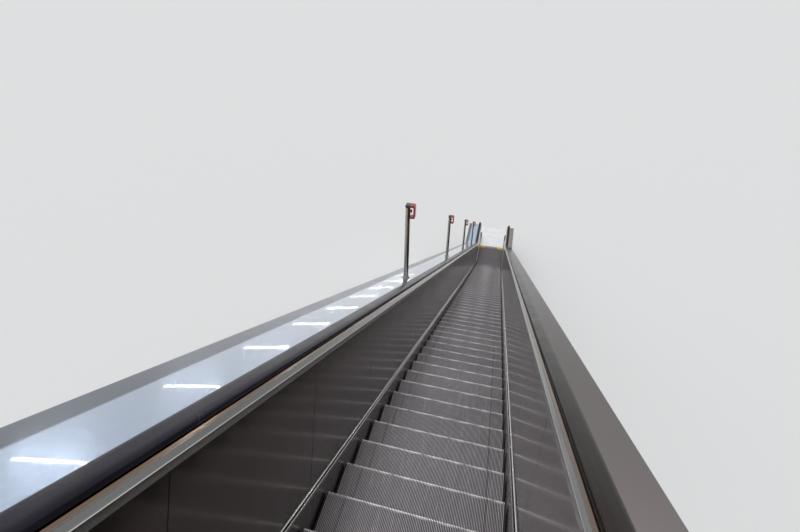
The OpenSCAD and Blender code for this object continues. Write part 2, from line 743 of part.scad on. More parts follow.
// Rubber collar round the handrail where it goes in
inlet_turn = [122, 136];
module inlet_section() {
  difference() {
    translate([rail_in - collar_in, lip_h - collar_in])
      square([handrail_w + collar_in + collar_out, rail_t + 2 * collar_in]);
    translate([rail_in - collar_gap, lip_h - collar_gap])
      square([handrail_w + 2 * collar_gap, rail_t + 2 * collar_gap]);
  }
}
module inlet() {
  translate([0, 0, newel_h]) rotate([0, -90, 0]) rotate([0, 0, -inlet_turn[1]])
    rotate_extrude(angle = inlet_turn[1] - inlet_turn[0])
      translate([-newel_h, 0]) rotate(-90) inlet_section();
}
module handrail_inlets() {
  color("black") both_sides() both_newels() inlet();
}

// Decks: folded sheets from the guide's web to the outer edge
deck_ends = [s_of_low(newel_lo), s_of_up(newel_up)];
hem = 60;
module deck(side, edge_x) {
  web = rail_x + guide_web / 2;
  on_side(side) sweep(deck_ends[0], deck_ends[1])
    polygon([[web, deck_h], [edge_x, deck_h], [edge_x, deck_h - hem], [edge_x - sheet, deck_h - hem],
             [edge_x - sheet, deck_under], [web, deck_under]]);
}
module wide_deck() { color("lightsteelblue") deck(1, wide_x); }
module narrow_deck() { color("lightgray") deck(-1, narrow_x); }

// Brackets that stand on the top chord: posts that carry panel, guide and deck,
// and low arms from the posts to the skirt
stand_t = 12;
stand_w = 44;
stand_in = 40;
foot_h = 60;
arm_h = 50;
bracket_stations = concat([panel_stations[0] + stand_in, 0], flight_stations,
                          [s_end, panel_stations[len(panel_stations) - 1] - stand_in]);
module deck_bracket(edge_x) {
  post = [upright_x, upright_x + stand_w];
  reach = edge_x - sheet;
  web = rail_x + guide_web / 2;
  polygon([[chord_x, chord_top], [truss_x, chord_top], [truss_x, chord_top + foot_h],
           [post[1], chord_top + 2 * foot_h], [post[1], seat_h - 2.5 * arm_h],
           [reach, deck_under - arm_h], [reach, deck_under], [web, deck_under], [web, seat_h],
           [panel_back, seat_h], [panel_back, seat_h - arm_h], [post[0], seat_h - 2 * arm_h]]);
}
module skirt_arm() {
  step_side = skirt_x + sheet;
  polygon([[step_side, skirt_h - stand_t], [step_side, skirt_h - arm_h],
           [upright_x, chord_top + foot_h], [upright_x, skirt_h - cover_lip]]);
}
module deck_brackets() {
  color("dimgray") for (s = bracket_stations) station(s) cross_plate(stand_t) {
    deck_bracket(wide_x);
    mirror([1, 0]) deck_bracket(narrow_x);
  }
}
module skirt_brackets() {
  color("dimgray") for (s = bracket_stations) station(s) cross_plate(stand_t) {
    skirt_arm();
    mirror([1, 0]) skirt_arm();
  }
}

// Sheets that close the outside of the balustrades beside the landings
module outer_side(edge_x) {
  for (end = [[z_lo, newel_lo, y_flat_lo, newel_lo], [z_up, y_flat_up, newel_up, newel_up - sheet]]) {
    block(edge_x - sheet, edge_x, end[1], end[2], end[0] + floor_h, end[0] + deck_h - hem);
    block(plinth_x, edge_x - sheet, end[3], end[3] + sheet, end[0] + floor_h, end[0] + deck_under);
  }
}
module outer_panels() {
  color("lightgray") {
    outer_side(wide_x);
    mirror([1, 0, 0]) outer_side(narrow_x);
  }
}

// Emergency stop posts stand upright on the wide deck. Each is a tube through the deck,
// with a base ring and a hole for the button near the top.
post_x = rail_out + post_set;
post_wall = 3;
post_root = 100;
ring_t = 14;
button_d = 46;
button_h = 16;
stem_d = 26;
button_drop = 60;
post_first = s_of_low(newel_lo) + post_lead;
post_count = floor((s_of_up(newel_up) - post_tail - post_first) / post_step) + 1;
module each_post() {
  for (i = [0 : post_count - 1]) {
    s = post_first + i * post_step;
    translate([post_x, at(s, deck_h)[0], at(s, deck_h)[1]]) {
      $slant = tilt(s);
      children();
    }
  }
}
// Along the button's own line, which leaves the tube towards the steps
module button_line() {
  translate([0, 0, post_h - button_drop]) rotate([0, -90, 0]) children();
}
module stop_posts() {
  color("silver") each_post() difference() {
    union() {
      translate([0, 0, -post_root]) cylinder(d = post_d, h = post_root + post_h);
      rotate([$slant, 0, 0]) cylinder(d = 1.7 * post_d, h = ring_t);
    }
    translate([0, 0, -post_root - 1]) cylinder(d = post_d - 2 * post_wall, h = post_root + post_h + 2);
    rotate([$slant, 0, 0]) translate([0, 0, -2 * post_root])
      cube([2 * post_d, 4 * post_d, 4 * post_root], center = true);
    button_line() cylinder(d = stem_d + 2 * fit_gap, h = post_d);
  }
}

// The head: a cap on the tube and a guard that is bent round the button
guard = [62, 180];
guard_bar = 22;
guard_w = 70;
cap_h = 30;
module stop_heads() {
  side = -post_d / 2;
  out = side - guard[0];
  top = post_h + cap_h;
  low = top - guard[1];
  color("red") each_post() {
    cross_plate(guard_w)
      polygon([[-side, post_h], [-side, top - cap_h / 3], [-side - cap_h / 3, top],
               [out + guard_bar, top], [out, top - guard_bar], [out, low + guard_bar],
               [out + guard_bar, low], [side, low], [side, low + guard_bar],
               [out + guard_bar, low + guard_bar], [out + guard_bar, post_h], [side, post_h]]);
    button_line() translate([0, 0, post_d / 2 - 2 * post_wall]) {
      cylinder(d = stem_d, h = 3 * post_wall);
      translate([0, 0, 3 * post_wall]) cylinder(d = button_d, h = button_h);
    }
  }
}

module truss_left_lower() { truss_side(1, 0); }
module truss_left_flight() { truss_side(1, 1); }
module truss_left_upper() { truss_side(1, 2); }
module truss_right_lower() { truss_side(-1, 0); }
module truss_right_flight() { truss_side(-1, 1); }
module truss_right_upper() { truss_side(-1, 2); }

truss_left_lower();
truss_left_flight();
truss_left_upper();
truss_right_lower();
truss_right_flight();
truss_right_upper();
truss_cross_bars();
soffit_plates();
lower_end_plate();
upper_end_plate();
lower_bracket();
upper_bracket();
track(1);  // track_left
track(-1);  // track_right
step_chain(1);  // step_chain_left
step_chain(-1);  // step_chain_right
lower_turn_wheels();
upper_drive_wheels();
drive_machine();
flight_steps();
landing_steps();
return_steps();
step_rollers();
lower_comb();
upper_comb();
lower_floor_plate();
upper_floor_plate();
floor_bars();
skirt(1);  // skirt_left
skirt(-1);  // skirt_right
skirt_cover(1);  // skirt_cover_left
skirt_cover(-1);  // skirt_cover_right
inner_panels(1);  // inner_panels_left
inner_panels(-1);  // inner_panels_right
rail_profile(1);  // rail_profile_left
rail_profile(-1);  // rail_profile_right
handrail_guide(1);  // handrail_guide_left
handrail_guide(-1);  // handrail_guide_right
handrail(1);  // handrail_left
handrail(-1);  // handrail_right
lower_newels();
upper_newels();
newel_plinths();
handrail_inlets();
wide_deck();
narrow_deck();
deck_brackets();
skirt_brackets();
outer_panels();
stop_posts();
stop_heads();
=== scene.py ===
"""Escalator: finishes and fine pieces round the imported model, in metres.

+X is across towards the wide deck, +Y runs uphill, +Z is up.
"""
import json
from math import asin, ceil, cos, degrees, floor, pi, radians, sin, sqrt, tan, tau

import bpy
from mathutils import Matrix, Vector


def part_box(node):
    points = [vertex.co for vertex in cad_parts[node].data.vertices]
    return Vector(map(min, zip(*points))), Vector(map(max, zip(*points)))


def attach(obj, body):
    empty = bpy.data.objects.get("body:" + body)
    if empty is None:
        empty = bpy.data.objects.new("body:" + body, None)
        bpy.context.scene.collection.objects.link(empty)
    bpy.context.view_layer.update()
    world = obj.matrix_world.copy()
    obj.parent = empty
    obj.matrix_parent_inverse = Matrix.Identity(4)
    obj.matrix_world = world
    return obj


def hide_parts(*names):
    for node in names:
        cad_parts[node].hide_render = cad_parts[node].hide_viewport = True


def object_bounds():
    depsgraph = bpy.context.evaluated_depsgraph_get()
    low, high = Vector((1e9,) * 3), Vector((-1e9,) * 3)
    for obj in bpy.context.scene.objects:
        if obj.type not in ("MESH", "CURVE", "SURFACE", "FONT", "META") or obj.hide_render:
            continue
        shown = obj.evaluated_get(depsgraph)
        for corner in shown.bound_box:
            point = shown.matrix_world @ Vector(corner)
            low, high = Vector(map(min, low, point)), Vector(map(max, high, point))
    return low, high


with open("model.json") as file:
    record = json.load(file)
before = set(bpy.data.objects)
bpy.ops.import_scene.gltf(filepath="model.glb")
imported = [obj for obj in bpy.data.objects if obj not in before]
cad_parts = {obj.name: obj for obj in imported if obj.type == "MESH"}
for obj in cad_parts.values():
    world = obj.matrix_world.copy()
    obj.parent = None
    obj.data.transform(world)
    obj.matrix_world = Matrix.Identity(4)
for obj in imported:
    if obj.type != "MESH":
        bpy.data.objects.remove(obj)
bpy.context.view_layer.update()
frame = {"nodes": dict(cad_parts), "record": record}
SLOTS = {part["node"]: part["material_slot"] for part in frame["record"]["subparts"]}
SIDES = (("left", 1), ("right", -1))


def even(a, b, parts):
    """Numbers from a to b in equal parts."""
    return [a + (b - a) * i / parts for i in range(parts + 1)]


# Driving sizes of the unit, as the model has them
SLOPE = radians(30)
STEP_PITCH = 0.405
STEP_GAP = 0.004
LOWER_RUN = 3.4
LOWER_R = 2.0
UPPER_R = 2.6
COMB_RUN = 1.35
COMB_BACK = 0.17
NEWEL_RUN = 2.0
WALK_Z = 0.21
END_SET = 0.09
HALF_STEP = 0.502
SHEET = 0.006
JOINT_GAP = 0.005
BAY = 1.4

# Across the unit
SKIRT_X = HALF_STEP + STEP_GAP
FOOT_X = HALF_STEP + 0.026
PANEL_X = HALF_STEP + 0.078
PANEL_BACK = PANEL_X + SHEET
RAIL_X = HALF_STEP + 0.143
RAIL_W = 0.085
RAIL_OUT = RAIL_X + RAIL_W / 2
UPRIGHT_X = RAIL_OUT + 0.012
CHORD = 0.08
TRUSS_X = UPRIGHT_X + CHORD
WIDE_X = RAIL_OUT + 0.41
NARROW_X = RAIL_OUT + 0.175
GUIDE_WEB = 0.038
CHAIN_X = (HALF_STEP + 0.026, HALF_STEP + 0.044)

# Heights above the step line
RAIL_TOP = 0.89
RAIL_T = 0.034
NEWEL_R = 0.38
LIP = RAIL_TOP - RAIL_T
DECK = LIP - 0.016
SEAT = DECK - SHEET - 0.03
SKIRT_H = 0.092
PANEL_LOW = SKIRT_H + 0.018
PANEL_TOP = SEAT - 0.014
NEWEL_H = RAIL_TOP - RAIL_T / 2 - NEWEL_R
FLOOR_H = 0.025
CHORD_TOP = -0.06
TRUSS_LOW = CHORD_TOP - 1.1

# Newel and plinth, from the newel's centre outwards
NEWEL_BACK = 0.2
PLINTH_FRONT = 0.34
PLINTH_BACK = 0.18
PLINTH_H = 0.24
NEWEL_SWEEP = radians(120)

# Places worked out from the sizes and from the upper bracket
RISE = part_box("upper_bracket")[0].z
UPPER_Z = WALK_Z + RISE
BEND_UP = LOWER_RUN + RISE / tan(SLOPE)
FLAT_LOW = LOWER_RUN - LOWER_R * tan(SLOPE / 2)
FLAT_UP = BEND_UP + UPPER_R * tan(SLOPE / 2)
S_ARC = LOWER_R * SLOPE
S_TOP = S_ARC + RISE / sin(SLOPE) - (LOWER_R + UPPER_R) * tan(SLOPE / 2)
S_END = S_TOP + UPPER_R * SLOPE
COMB_LOW = LOWER_RUN - COMB_RUN
COMB_UP = BEND_UP + COMB_RUN
NEWEL_LOW = LOWER_RUN - NEWEL_RUN
NEWEL_UP = BEND_UP + NEWEL_RUN
NEWELS = ((NEWEL_LOW, WALK_Z, -1), (NEWEL_UP, UPPER_Z, 1))
END_UP = BEND_UP + LOWER_RUN - END_SET
FIRST_STEP = COMB_LOW - FLAT_LOW - STEP_PITCH
RAIL_ENDS = (NEWEL_LOW - FLAT_LOW, S_END + NEWEL_UP - FLAT_UP)
STEP_COUNT = ceil((S_END + COMB_UP - FLAT_UP - FIRST_STEP) / STEP_PITCH - 1e-6) + 1
STEP_STATIONS = [FIRST_STEP + k * STEP_PITCH for k in range(STEP_COUNT)]
LAST_STEP = STEP_STATIONS[-1]
BAYS = ceil((S_TOP - S_ARC) / BAY - 1e-6)
FLIGHT_STATIONS = even(S_ARC, S_TOP, BAYS)

# Camera, from the vanishing points of the photograph
CAMERA_AT = (-0.2474, 24.025, 13.977)
CAMERA_TURN = (58.688, 1.863, -162.416)
FOCUS_PIXELS = 547.9
CENTRE_PIXEL = (341.1, 234.6)
PICTURE = (800, 532)


def tilt(s):
    """Slope of the step line at distance s from the start of the lower bend."""
    if s <= 0 or s >= S_END:
        return 0.0
    if s < S_ARC:
        return s / LOWER_R
    return SLOPE if s <= S_TOP else (S_END - s) / UPPER_R


def on_line(s, h=0.0):
    """Point (y, z) at height h above the step line."""
    if s <= 0:
        return FLAT_LOW + s, WALK_Z + h
    if s >= S_END:
        return FLAT_UP + s - S_END, UPPER_Z + h
    a = tilt(s)
    if s < S_TOP:
        r = LOWER_R - h
        y = FLAT_LOW + r * sin(a)
        z = WALK_Z + LOWER_R - r * cos(a)
        straight = max(s - S_ARC, 0)
        return y + straight * cos(SLOPE), z + straight * sin(SLOPE)
    r = UPPER_R + h
    return FLAT_UP - r * sin(a), UPPER_Z - UPPER_R + r * cos(a)


def by_length(q, h):
    """Distance on the step line for a true length q along the line held at height h."""
    low, up = 1 - h / LOWER_R, 1 + h / UPPER_R
    q_arc = S_ARC * low
    q_top = q_arc + S_TOP - S_ARC
    q_end = q_top + (S_END - S_TOP) * up
    if q < 0:
        return q
    if q < q_arc:
        return q / low
    if q < q_top:
        return q - q_arc + S_ARC
    if q < q_end:
        return S_TOP + (q - q_top) / up
    return S_END + q - q_end


def low_s(y):
    return y - FLAT_LOW


def up_s(y):
    return S_END + y - FLAT_UP


def station_axes(s):
    """The point on the step line at s, and the directions along it and square to it."""
    a = tilt(s)
    along = Vector((0, cos(a), sin(a)))
    return Vector((0, *on_line(s))), along, Vector((0, -along.z, along.y))


def add_object(name, data, at=(0, 0, 0), turn=(0, 0, 0)):
    """A new object in the scene, at a place and turned by degrees."""
    made = bpy.data.objects.new(name, data)
    made.location = at
    made.rotation_euler = [radians(a) for a in turn]
    bpy.context.scene.collection.objects.link(made)
    return made


class Value:
    """A socket of a node tree: arithmetic on it adds Math nodes."""

    def __init__(self, nodes, socket):
        self.nodes = nodes
        self.socket = socket

    def math(self, operation, *others):
        return self.nodes.node("ShaderNodeMath", {"operation": operation}, [self, *others])

    def __add__(self, other):
        return self.math("ADD", other)

    def __sub__(self, other):
        return self.math("SUBTRACT", other)

    def __rsub__(self, other):
        return self * -1 + other

    def __mul__(self, other):
        return self.math("MULTIPLY", other)

    def __truediv__(self, other):
        return self.math("DIVIDE", other)

    __radd__ = __add__
    __rmul__ = __mul__

    def above(self, edge):
        return self.math("GREATER_THAN", edge)

    def size(self):
        return self.math("ABSOLUTE")

    def clamp(self):
        return self.nodes.node("ShaderNodeClamp", {}, [self])

    def near(self, middle, reach):
        """1 at middle, falling to 0 at reach either side."""
        return (1 - (self - middle).size() / reach).clamp()

    def rising(self, low, high):
        """0 up to low and 1 from high."""
        return ((self - low) / (high - low)).clamp()


class Nodes:
    """A node tree, with one method that adds any node."""

    def __init__(self, tree):
        self.tree = tree

    def node(self, kind, settings=None, values=(), output=0):
        """Adds a node: its settings first, then the values or links of its sockets."""
        node = self.tree.nodes.new(kind)
        for key, value in (settings or {}).items():
            setattr(node, key, value)
        pairs = values.items() if isinstance(values, dict) else enumerate(values)
        for key, value in pairs:
            socket = node.inputs[key]
            if isinstance(value, Value):
                self.tree.links.new(value.socket, socket)
            else:
                socket.default_value = value
        return Value(self, node.outputs[output])


class Finish(Nodes):
    """One material: a Principled shader and the nodes that feed it."""

    made = {}

    def __init__(self, name, **constants):
        self.made[name] = material = bpy.data.materials.new(name)
        material.use_nodes = True
        super().__init__(material.node_tree)
        self.shader = self.tree.nodes["Principled BSDF"]
        for socket, value in constants.items():
            self.shader.inputs[socket.replace("_", " ")].default_value = value

    def point(self):
        return self.node("ShaderNodeTexCoord", output="Object")

    def split(self, vector):
        return [self.node("ShaderNodeSeparateXYZ", {}, [vector], axis) for axis in "XYZ"]

    def place(self):
        """x, y and z of a point of the surface."""
        return self.split(self.point())

    def slope_place(self):
        """x, the distance along the flight and the height square to it."""
        x, y, z = self.place()
        c, s = cos(SLOPE), sin(SLOPE)
        return x, y * c + z * s, z * c - y * s

    def join(self, x, y, z):
        return self.node("ShaderNodeCombineXYZ", {}, [x, y, z])

    def noise(self, place, scale=1, detail=3, roughness=0.5):
        """Noise at a point, given as a link or as x, y and z."""
        vector = place if isinstance(place, Value) else self.join(*place)
        return self.node("ShaderNodeTexNoise", {},
                         {"Vector": vector, "Scale": scale, "Detail": detail, "Roughness": roughness})

    def mix(self, factor, first, second):
        """Mixes two colours, given as triples or as links."""
        first, second = [c if isinstance(c, Value) else (*c, 1) for c in (first, second)]
        return self.node("ShaderNodeMix", {"data_type": "RGBA"}, {0: factor, 6: first, 7: second}, 2)

    def level(self):
        """How far a point stands out of its groove, as the fine pieces write it."""
        return self.node("ShaderNodeAttribute", {"attribute_name": "level"}, output="Fac")

    def facing(self):
        """x, y and z of the way that the surface faces."""
        return self.split(self.node("ShaderNodeNewGeometry", output="Normal"))

    def feed(self, **links):
        for socket, value in links.items():
            self.tree.links.new(value.socket, self.shader.inputs[socket.replace("_", " ")])

    def done(self, base, roughness, height, depth):
        """Feeds the shader with a colour, a roughness and a bump as deep as told."""
        bump = self.node("ShaderNodeBump", {}, {"Height": height, "Distance": depth})
        self.feed(Base_Color=base, Roughness=roughness, Normal=bump)


def brushed(name, colour, dull, tint=0.05, edge=1.0, matt=None, shade=None):
    """Sheet steel with its grain along the flight, in colour, gloss and bump."""
    finish = Finish(name, Metallic=1.0, Specular_Tint=(edge, edge, edge, 1), Coat_Roughness=0.035)
    x, along, up = finish.slope_place()
    streaks = finish.noise((x * 900, along * 3, up * 900), 1, 3, 0.6)
    broad = finish.noise((x * 60, along * 0.6, up * 60), 1, 3, 0.5)
    patches = finish.noise((x, along, up), 1.2, 4, 0.6)
    level = streaks * 0.5 + broad * 0.3 + patches * 0.2
    base = finish.mix(level, [c * (1 - 2 * tint) for c in colour],
                      [min(c * (1 + 2 * tint), 1) for c in colour])
    if shade:
        base = shade(finish, base, x, along, up)
    if matt:
        finish.feed(Coat_Weight=1 - matt(x))
    roughness = dull - 0.06 + streaks * 0.036 + patches * 0.084
    finish.done(base, roughness, streaks, 0.00003)


# Places in the finishes: deck edge, dust by the handrail, step line square to the slope, comb ends
DECK_EDGE = (0.975, 0.99)
DUST_X = 0.7
STEP_LEVEL = -1.518
COMB_ENDS = 0.26


def deck_edge(x):
    """1 along the wide deck's outer edge, which isn't polished and carries a painted dark reflection.
    """
    return x.rising(*DECK_EDGE)


def deck_shade(finish, base, x, along, up):
    """A darker strip along the wide deck's outer edge, a painted reflection of a neighbouring
    balustrade, and dust by the handrail.
    """
    strip = deck_edge(x)
    dust = x.size().near(DUST_X, 0.02) * finish.noise((x * 20, along * 2, up), 1, 4, 0.6)
    # Painted reflection: the outer edge strip mixed to a dark blue-grey
    base = finish.mix(strip * 0.85, base, (0.12, 0.125, 0.14))
    return finish.mix(dust * 0.6, base, (0.16, 0.15, 0.14))


def panel_shade(finish, base, x, along, up):
    """Warm smears from hands and feet, strongest low down on the panels."""
    feet = finish.noise((x, along * 0.8, up * 1.6), 2.2, 4, 0.65)
    low = 1 - up.rising(STEP_LEVEL + 0.098, STEP_LEVEL + 0.518)
    return finish.mix((feet - 0.35).clamp() * (low * 0.6 + 0.2), base, (0.1, 0.085, 0.075))


def profile_shade(finish, base, x, along, up):
    """Colours by the way each face turns: a brown painted reflection on the top bevel, a dull slope, a
    painted highlight along the nose, a plain upright face.
    """
    across = finish.facing()[0].size()
    # Painted reflection: the top bevel brown
    base = finish.mix(across.rising(0.6, 0.64), (0.17, 0.12, 0.09), base)
    # Painted highlight: the rounded nose near white
    base = finish.mix(across.rising(0.74, 0.8), base, (0.86, 0.86, 0.84))
    return finish.mix(across.rising(0.9, 0.95), base, (0.6, 0.6, 0.58))


def cover_shade(finish, base, x, along, up):
    """Bright lip at the panel's foot, a painted highlight; duller roll over the skirt; a near-black
    groove between, painted shade.
    """
    level = finish.level()
    # Painted shade: the groove near black
    base = finish.mix(level.rising(0.25, 0.5), (0.012, 0.012, 0.012), base)
    # Painted highlight: the lip bright
    return finish.mix(level.rising(0.7, 0.9), base, (0.62, 0.61, 0.59))


def painted(name, colour, worn, dull=0.45):
    """Paint on steel: mottled, dusty on what faces up and rubbed through in small spots."""
    finish = Finish(name)
    point = finish.point()
    mottle = finish.noise(point, 6, 5, 0.6)
    fine = finish.noise(point, 160, 2, 0.5)
    dusty = (finish.facing()[2] * finish.noise(point, 3, 3, 0.6) * 0.4).clamp()
    rubbed = finish.noise(point, 22, 4, 0.65).above(0.68)
    base = finish.mix(mottle, [c * 0.85 for c in colour], [c * 1.15 for c in colour])
    base = finish.mix(dusty, base, (0.42, 0.4, 0.37))
    base = finish.mix(rubbed * 0.5, base, worn)
    roughness = dull + mottle * 0.2 + dusty * 0.3
    finish.done(base, roughness, fine * 0.3 + mottle, 0.0006)


def bare_steel():
    """Rolled steel with a film of oil and a polished running face."""
    finish = Finish("track_steel", Metallic=0.9)
    point = finish.point()
    marks = finish.noise(point, 18, 5, 0.65)
    oil = finish.noise(point, 2.5, 3, 0.5)
    base = finish.mix(marks, (0.16, 0.155, 0.15), (0.34, 0.335, 0.33))
    base = finish.mix((oil - 0.5).clamp() * 1.6, base, (0.05, 0.045, 0.04))
    finish.done(base, 0.5 - oil * 0.3 + marks * 0.15, marks, 0.0004)


def cast_aluminium(name, nosing=None, grooved=True):
    """Bright cleats; nosings from a given place on rubbed bright and painted brighter as a highlight;
    painted shade on faces that don't face up and in the grooves.
    """
    finish = Finish(name, Metallic=0.85)
    x, along, up = finish.slope_place()
    point = (x, along, up)
    cast = finish.noise(point, 240, 3, 0.6)
    traffic = finish.noise((x, along * 0.7, up * 0.7), 5, 4, 0.6)
    scuffs = finish.noise((x * 60, along * 6, up * 6), 1, 3, 0.7)
    cleats = finish.noise((x * 111, along * 0.4, up * 0.4), 1, 2, 0.6)
    base = finish.mix(traffic * 0.6 + cleats * 0.4, (0.14, 0.13, 0.137), (0.4, 0.375, 0.395))
    base = finish.mix((scuffs - 0.52).clamp() * 1.6, base, (0.55, 0.54, 0.54))
    # Painted shade: faces turned away from up, such as risers, darker
    base = finish.mix((0.75 - finish.facing()[2]).clamp() * 0.6, base, (0.05, 0.048, 0.047))
    roughness = 0.32 + traffic * 0.2 + cast * 0.08
    # Nosings from the given step on: wear and a painted highlight along the front edges
    if nosing:
        lap = ((along - nosing) / STEP_PITCH).math("FRACT")
        worn = (lap - 0.5).size().rising(0.5 - 0.022, 0.5 - 0.01)
        uneven = finish.noise(point, 30, 3, 0.6).rising(0.3, 0.5)
        worn = worn * along.rising(nosing, nosing + 0.01) * uneven
        base = finish.mix(worn * 0.9, base, (0.92, 0.9, 0.89))
    # Painted shade: groove floors and cleat roots near black
    if grooved:
        base = finish.mix(finish.level().rising(0.55, 0.95), (0.018, 0.016, 0.017), base)
    finish.done(base, roughness, cast, 0.0002)


def rubber(name, colour, sheen_colour, dull=0.22, level=0.16, tone=(0.86, 0.84, 1)):
    """Hand rubber: smooth, a little greasy, with lighter streaks along it that are dust and a painted
    sheen together.
    """
    finish = Finish(name, Specular_IOR_Level=level, Specular_Tint=(*tone, 1))
    x, along, up = finish.slope_place()
    dust = finish.noise((x * 40, along * 1.5, up * 40), 1, 4, 0.6)
    hands = finish.noise((x, along, up), 3, 4, 0.6)
    pores = finish.noise((x, along, up), 500, 2, 0.5)
    # Dust and painted sheen: streaks mixed to the lighter sheen colour
    base = finish.mix((dust * hands * 1.6).clamp(), colour, sheen_colour)
    finish.done(base, dull - 0.08 + hands * 0.2, pores, 0.00008)


def comb_metal():
    """Comb plate: dark aluminium with yellow ends and a yellow front edge."""
    finish = Finish("comb_yellow", Metallic=0.3)
    wear = finish.noise(finish.point(), 30, 4, 0.65)
    ends = finish.place()[0].size().above(COMB_ENDS)
    yellow = finish.mix(wear, (0.62, 0.4, 0.02), (0.8, 0.58, 0.06))
    metal = finish.mix(wear, (0.2, 0.2, 0.2), (0.36, 0.36, 0.36))
    base = finish.mix(ends * (1 - wear.above(0.66) * 0.7), metal, yellow)
    finish.done(base, 0.35 + wear * 0.2, wear, 0.0003)


def floor_cover():
    """Landing covers: bright steel, rubbed on top of the ribs and dirty between them."""
    finish = Finish("floor_steel", Metallic=0.9)
    x, y, z = finish.place()
    traffic = finish.noise(finish.point(), 4, 4, 0.6)
    streaks = finish.noise((x * 500, y * 4, z), 1, 3, 0.6)
    base = finish.mix(traffic, (0.66, 0.67, 0.69), (0.93, 0.94, 0.95))
    base = finish.mix((streaks - 0.5).clamp() * 1.2, base, (0.34, 0.34, 0.35))
    finish.done(base, 0.26 + traffic * 0.15 + streaks * 0.08, streaks, 0.0002)


def post_tube():
    """Polished tube with upright grinding marks and a warm tone, which is a painted reflection."""
    finish = Finish("post_steel", Metallic=1.0)
    x, y, z = finish.place()
    rings = finish.noise((x * 30, y * 30, z * 700), 1, 3, 0.6)
    hands = finish.noise(finish.point(), 9, 4, 0.6)
    # Painted reflection: warm browns, patchy where hands have been
    base = finish.mix(hands, (0.24, 0.19, 0.14), (0.52, 0.47, 0.4))
    finish.done(base, 0.12 + hands * 0.14 + rings * 0.06, rings, 0.00003)


def stop_paint():
    """Red gloss paint with small chips; the cap over the tube is dark."""
    finish = Finish("stop_red", Coat_Weight=0.5, Coat_Roughness=0.15)
    point = finish.point()
    mottle = finish.noise(point, 25, 4, 0.6)
    chips = finish.noise(point, 120, 3, 0.7).above(0.7)
    base = finish.mix(mottle, (0.22, 0.012, 0.01), (0.36, 0.022, 0.016))
    base = finish.mix(chips * 0.6, base, (0.1, 0.07, 0.06))
    tube = POST_X - POST_R
    cap = finish.place()[0].rising(tube - 0.001, tube + 0.001)
    base = finish.mix(cap, base, (0.045, 0.038, 0.035))
    roughness = 0.28 + mottle * 0.2
    finish.done(base, roughness, mottle, 0.0002)


def make_finishes():
    """A finish for each slot of the record, and a few that differ within one."""
    # Step 9's nosing: from there up, nosings are rubbed bright and get a painted highlight
    y, z = on_line(STEP_STATIONS[9])
    nosing = y * cos(SLOPE) + z * sin(SLOPE)
    painted("truss_paint", (0.105, 0.11, 0.12), (0.2, 0.1, 0.05))
    painted("machine_paint", (0.1, 0.19, 0.26), (0.3, 0.29, 0.28), 0.35)
    cast_aluminium("tread_aluminium", grooved=False)
    cast_aluminium("landing_treads")
    cast_aluminium("flight_treads", nosing)
    rubber("roller_rubber", (0.02, 0.02, 0.02), (0.06, 0.055, 0.05), 0.6)
    rubber("handrail_rubber", (0.007, 0.006, 0.01), (0.03, 0.028, 0.042), level=0.12)
    # The right handrail's copy of the rubber: warmer and less glossy, a painted reflection of a brown
    # wall beside it
    rubber("rubber_painted_wall_reflection", (0.009, 0.007, 0.006), (0.034, 0.027, 0.023), level=0.05, tone=(1, 0.9, 0.82))
    brushed("skirt_steel", (0.13, 0.125, 0.12), 0.22)
    brushed("cover_steel", (0.24, 0.23, 0.225), 0.18, shade=cover_shade)
    brushed("panel_steel", (0.29, 0.255, 0.24), 0.15, shade=panel_shade)
    brushed("profile_steel", (0.17, 0.17, 0.168), 0.2, shade=profile_shade)
    # One steel on both decks: the wide deck's blue tint is a painted reflection, and the narrow deck's
    # darker warm grey is a painted reflection of a wall beside it
    brushed("deck_steel", (0.38, 0.47, 0.61), 0.22, tint=0.09, matt=deck_edge, shade=deck_shade)
    brushed("narrow_deck_painted_reflection", (0.31, 0.28, 0.272), 0.22, edge=0.5)
    bare_steel()
    comb_metal()
    floor_cover()
    post_tube()
    stop_paint()


def dress_frame():
    """Gives each node of the model the finish of its slot."""
    for node, slot in SLOTS.items():
        mesh = frame["nodes"][node].data
        mesh.materials.clear()
        mesh.materials.append(Finish.made[slot])


def fine_name(node):
    """A node's name with "fine" in it, before its side if it has one."""
    stem, _, side = node.rpartition("_")
    return stem + "_fine_" + side if side in dict(SIDES) else node + "_fine"


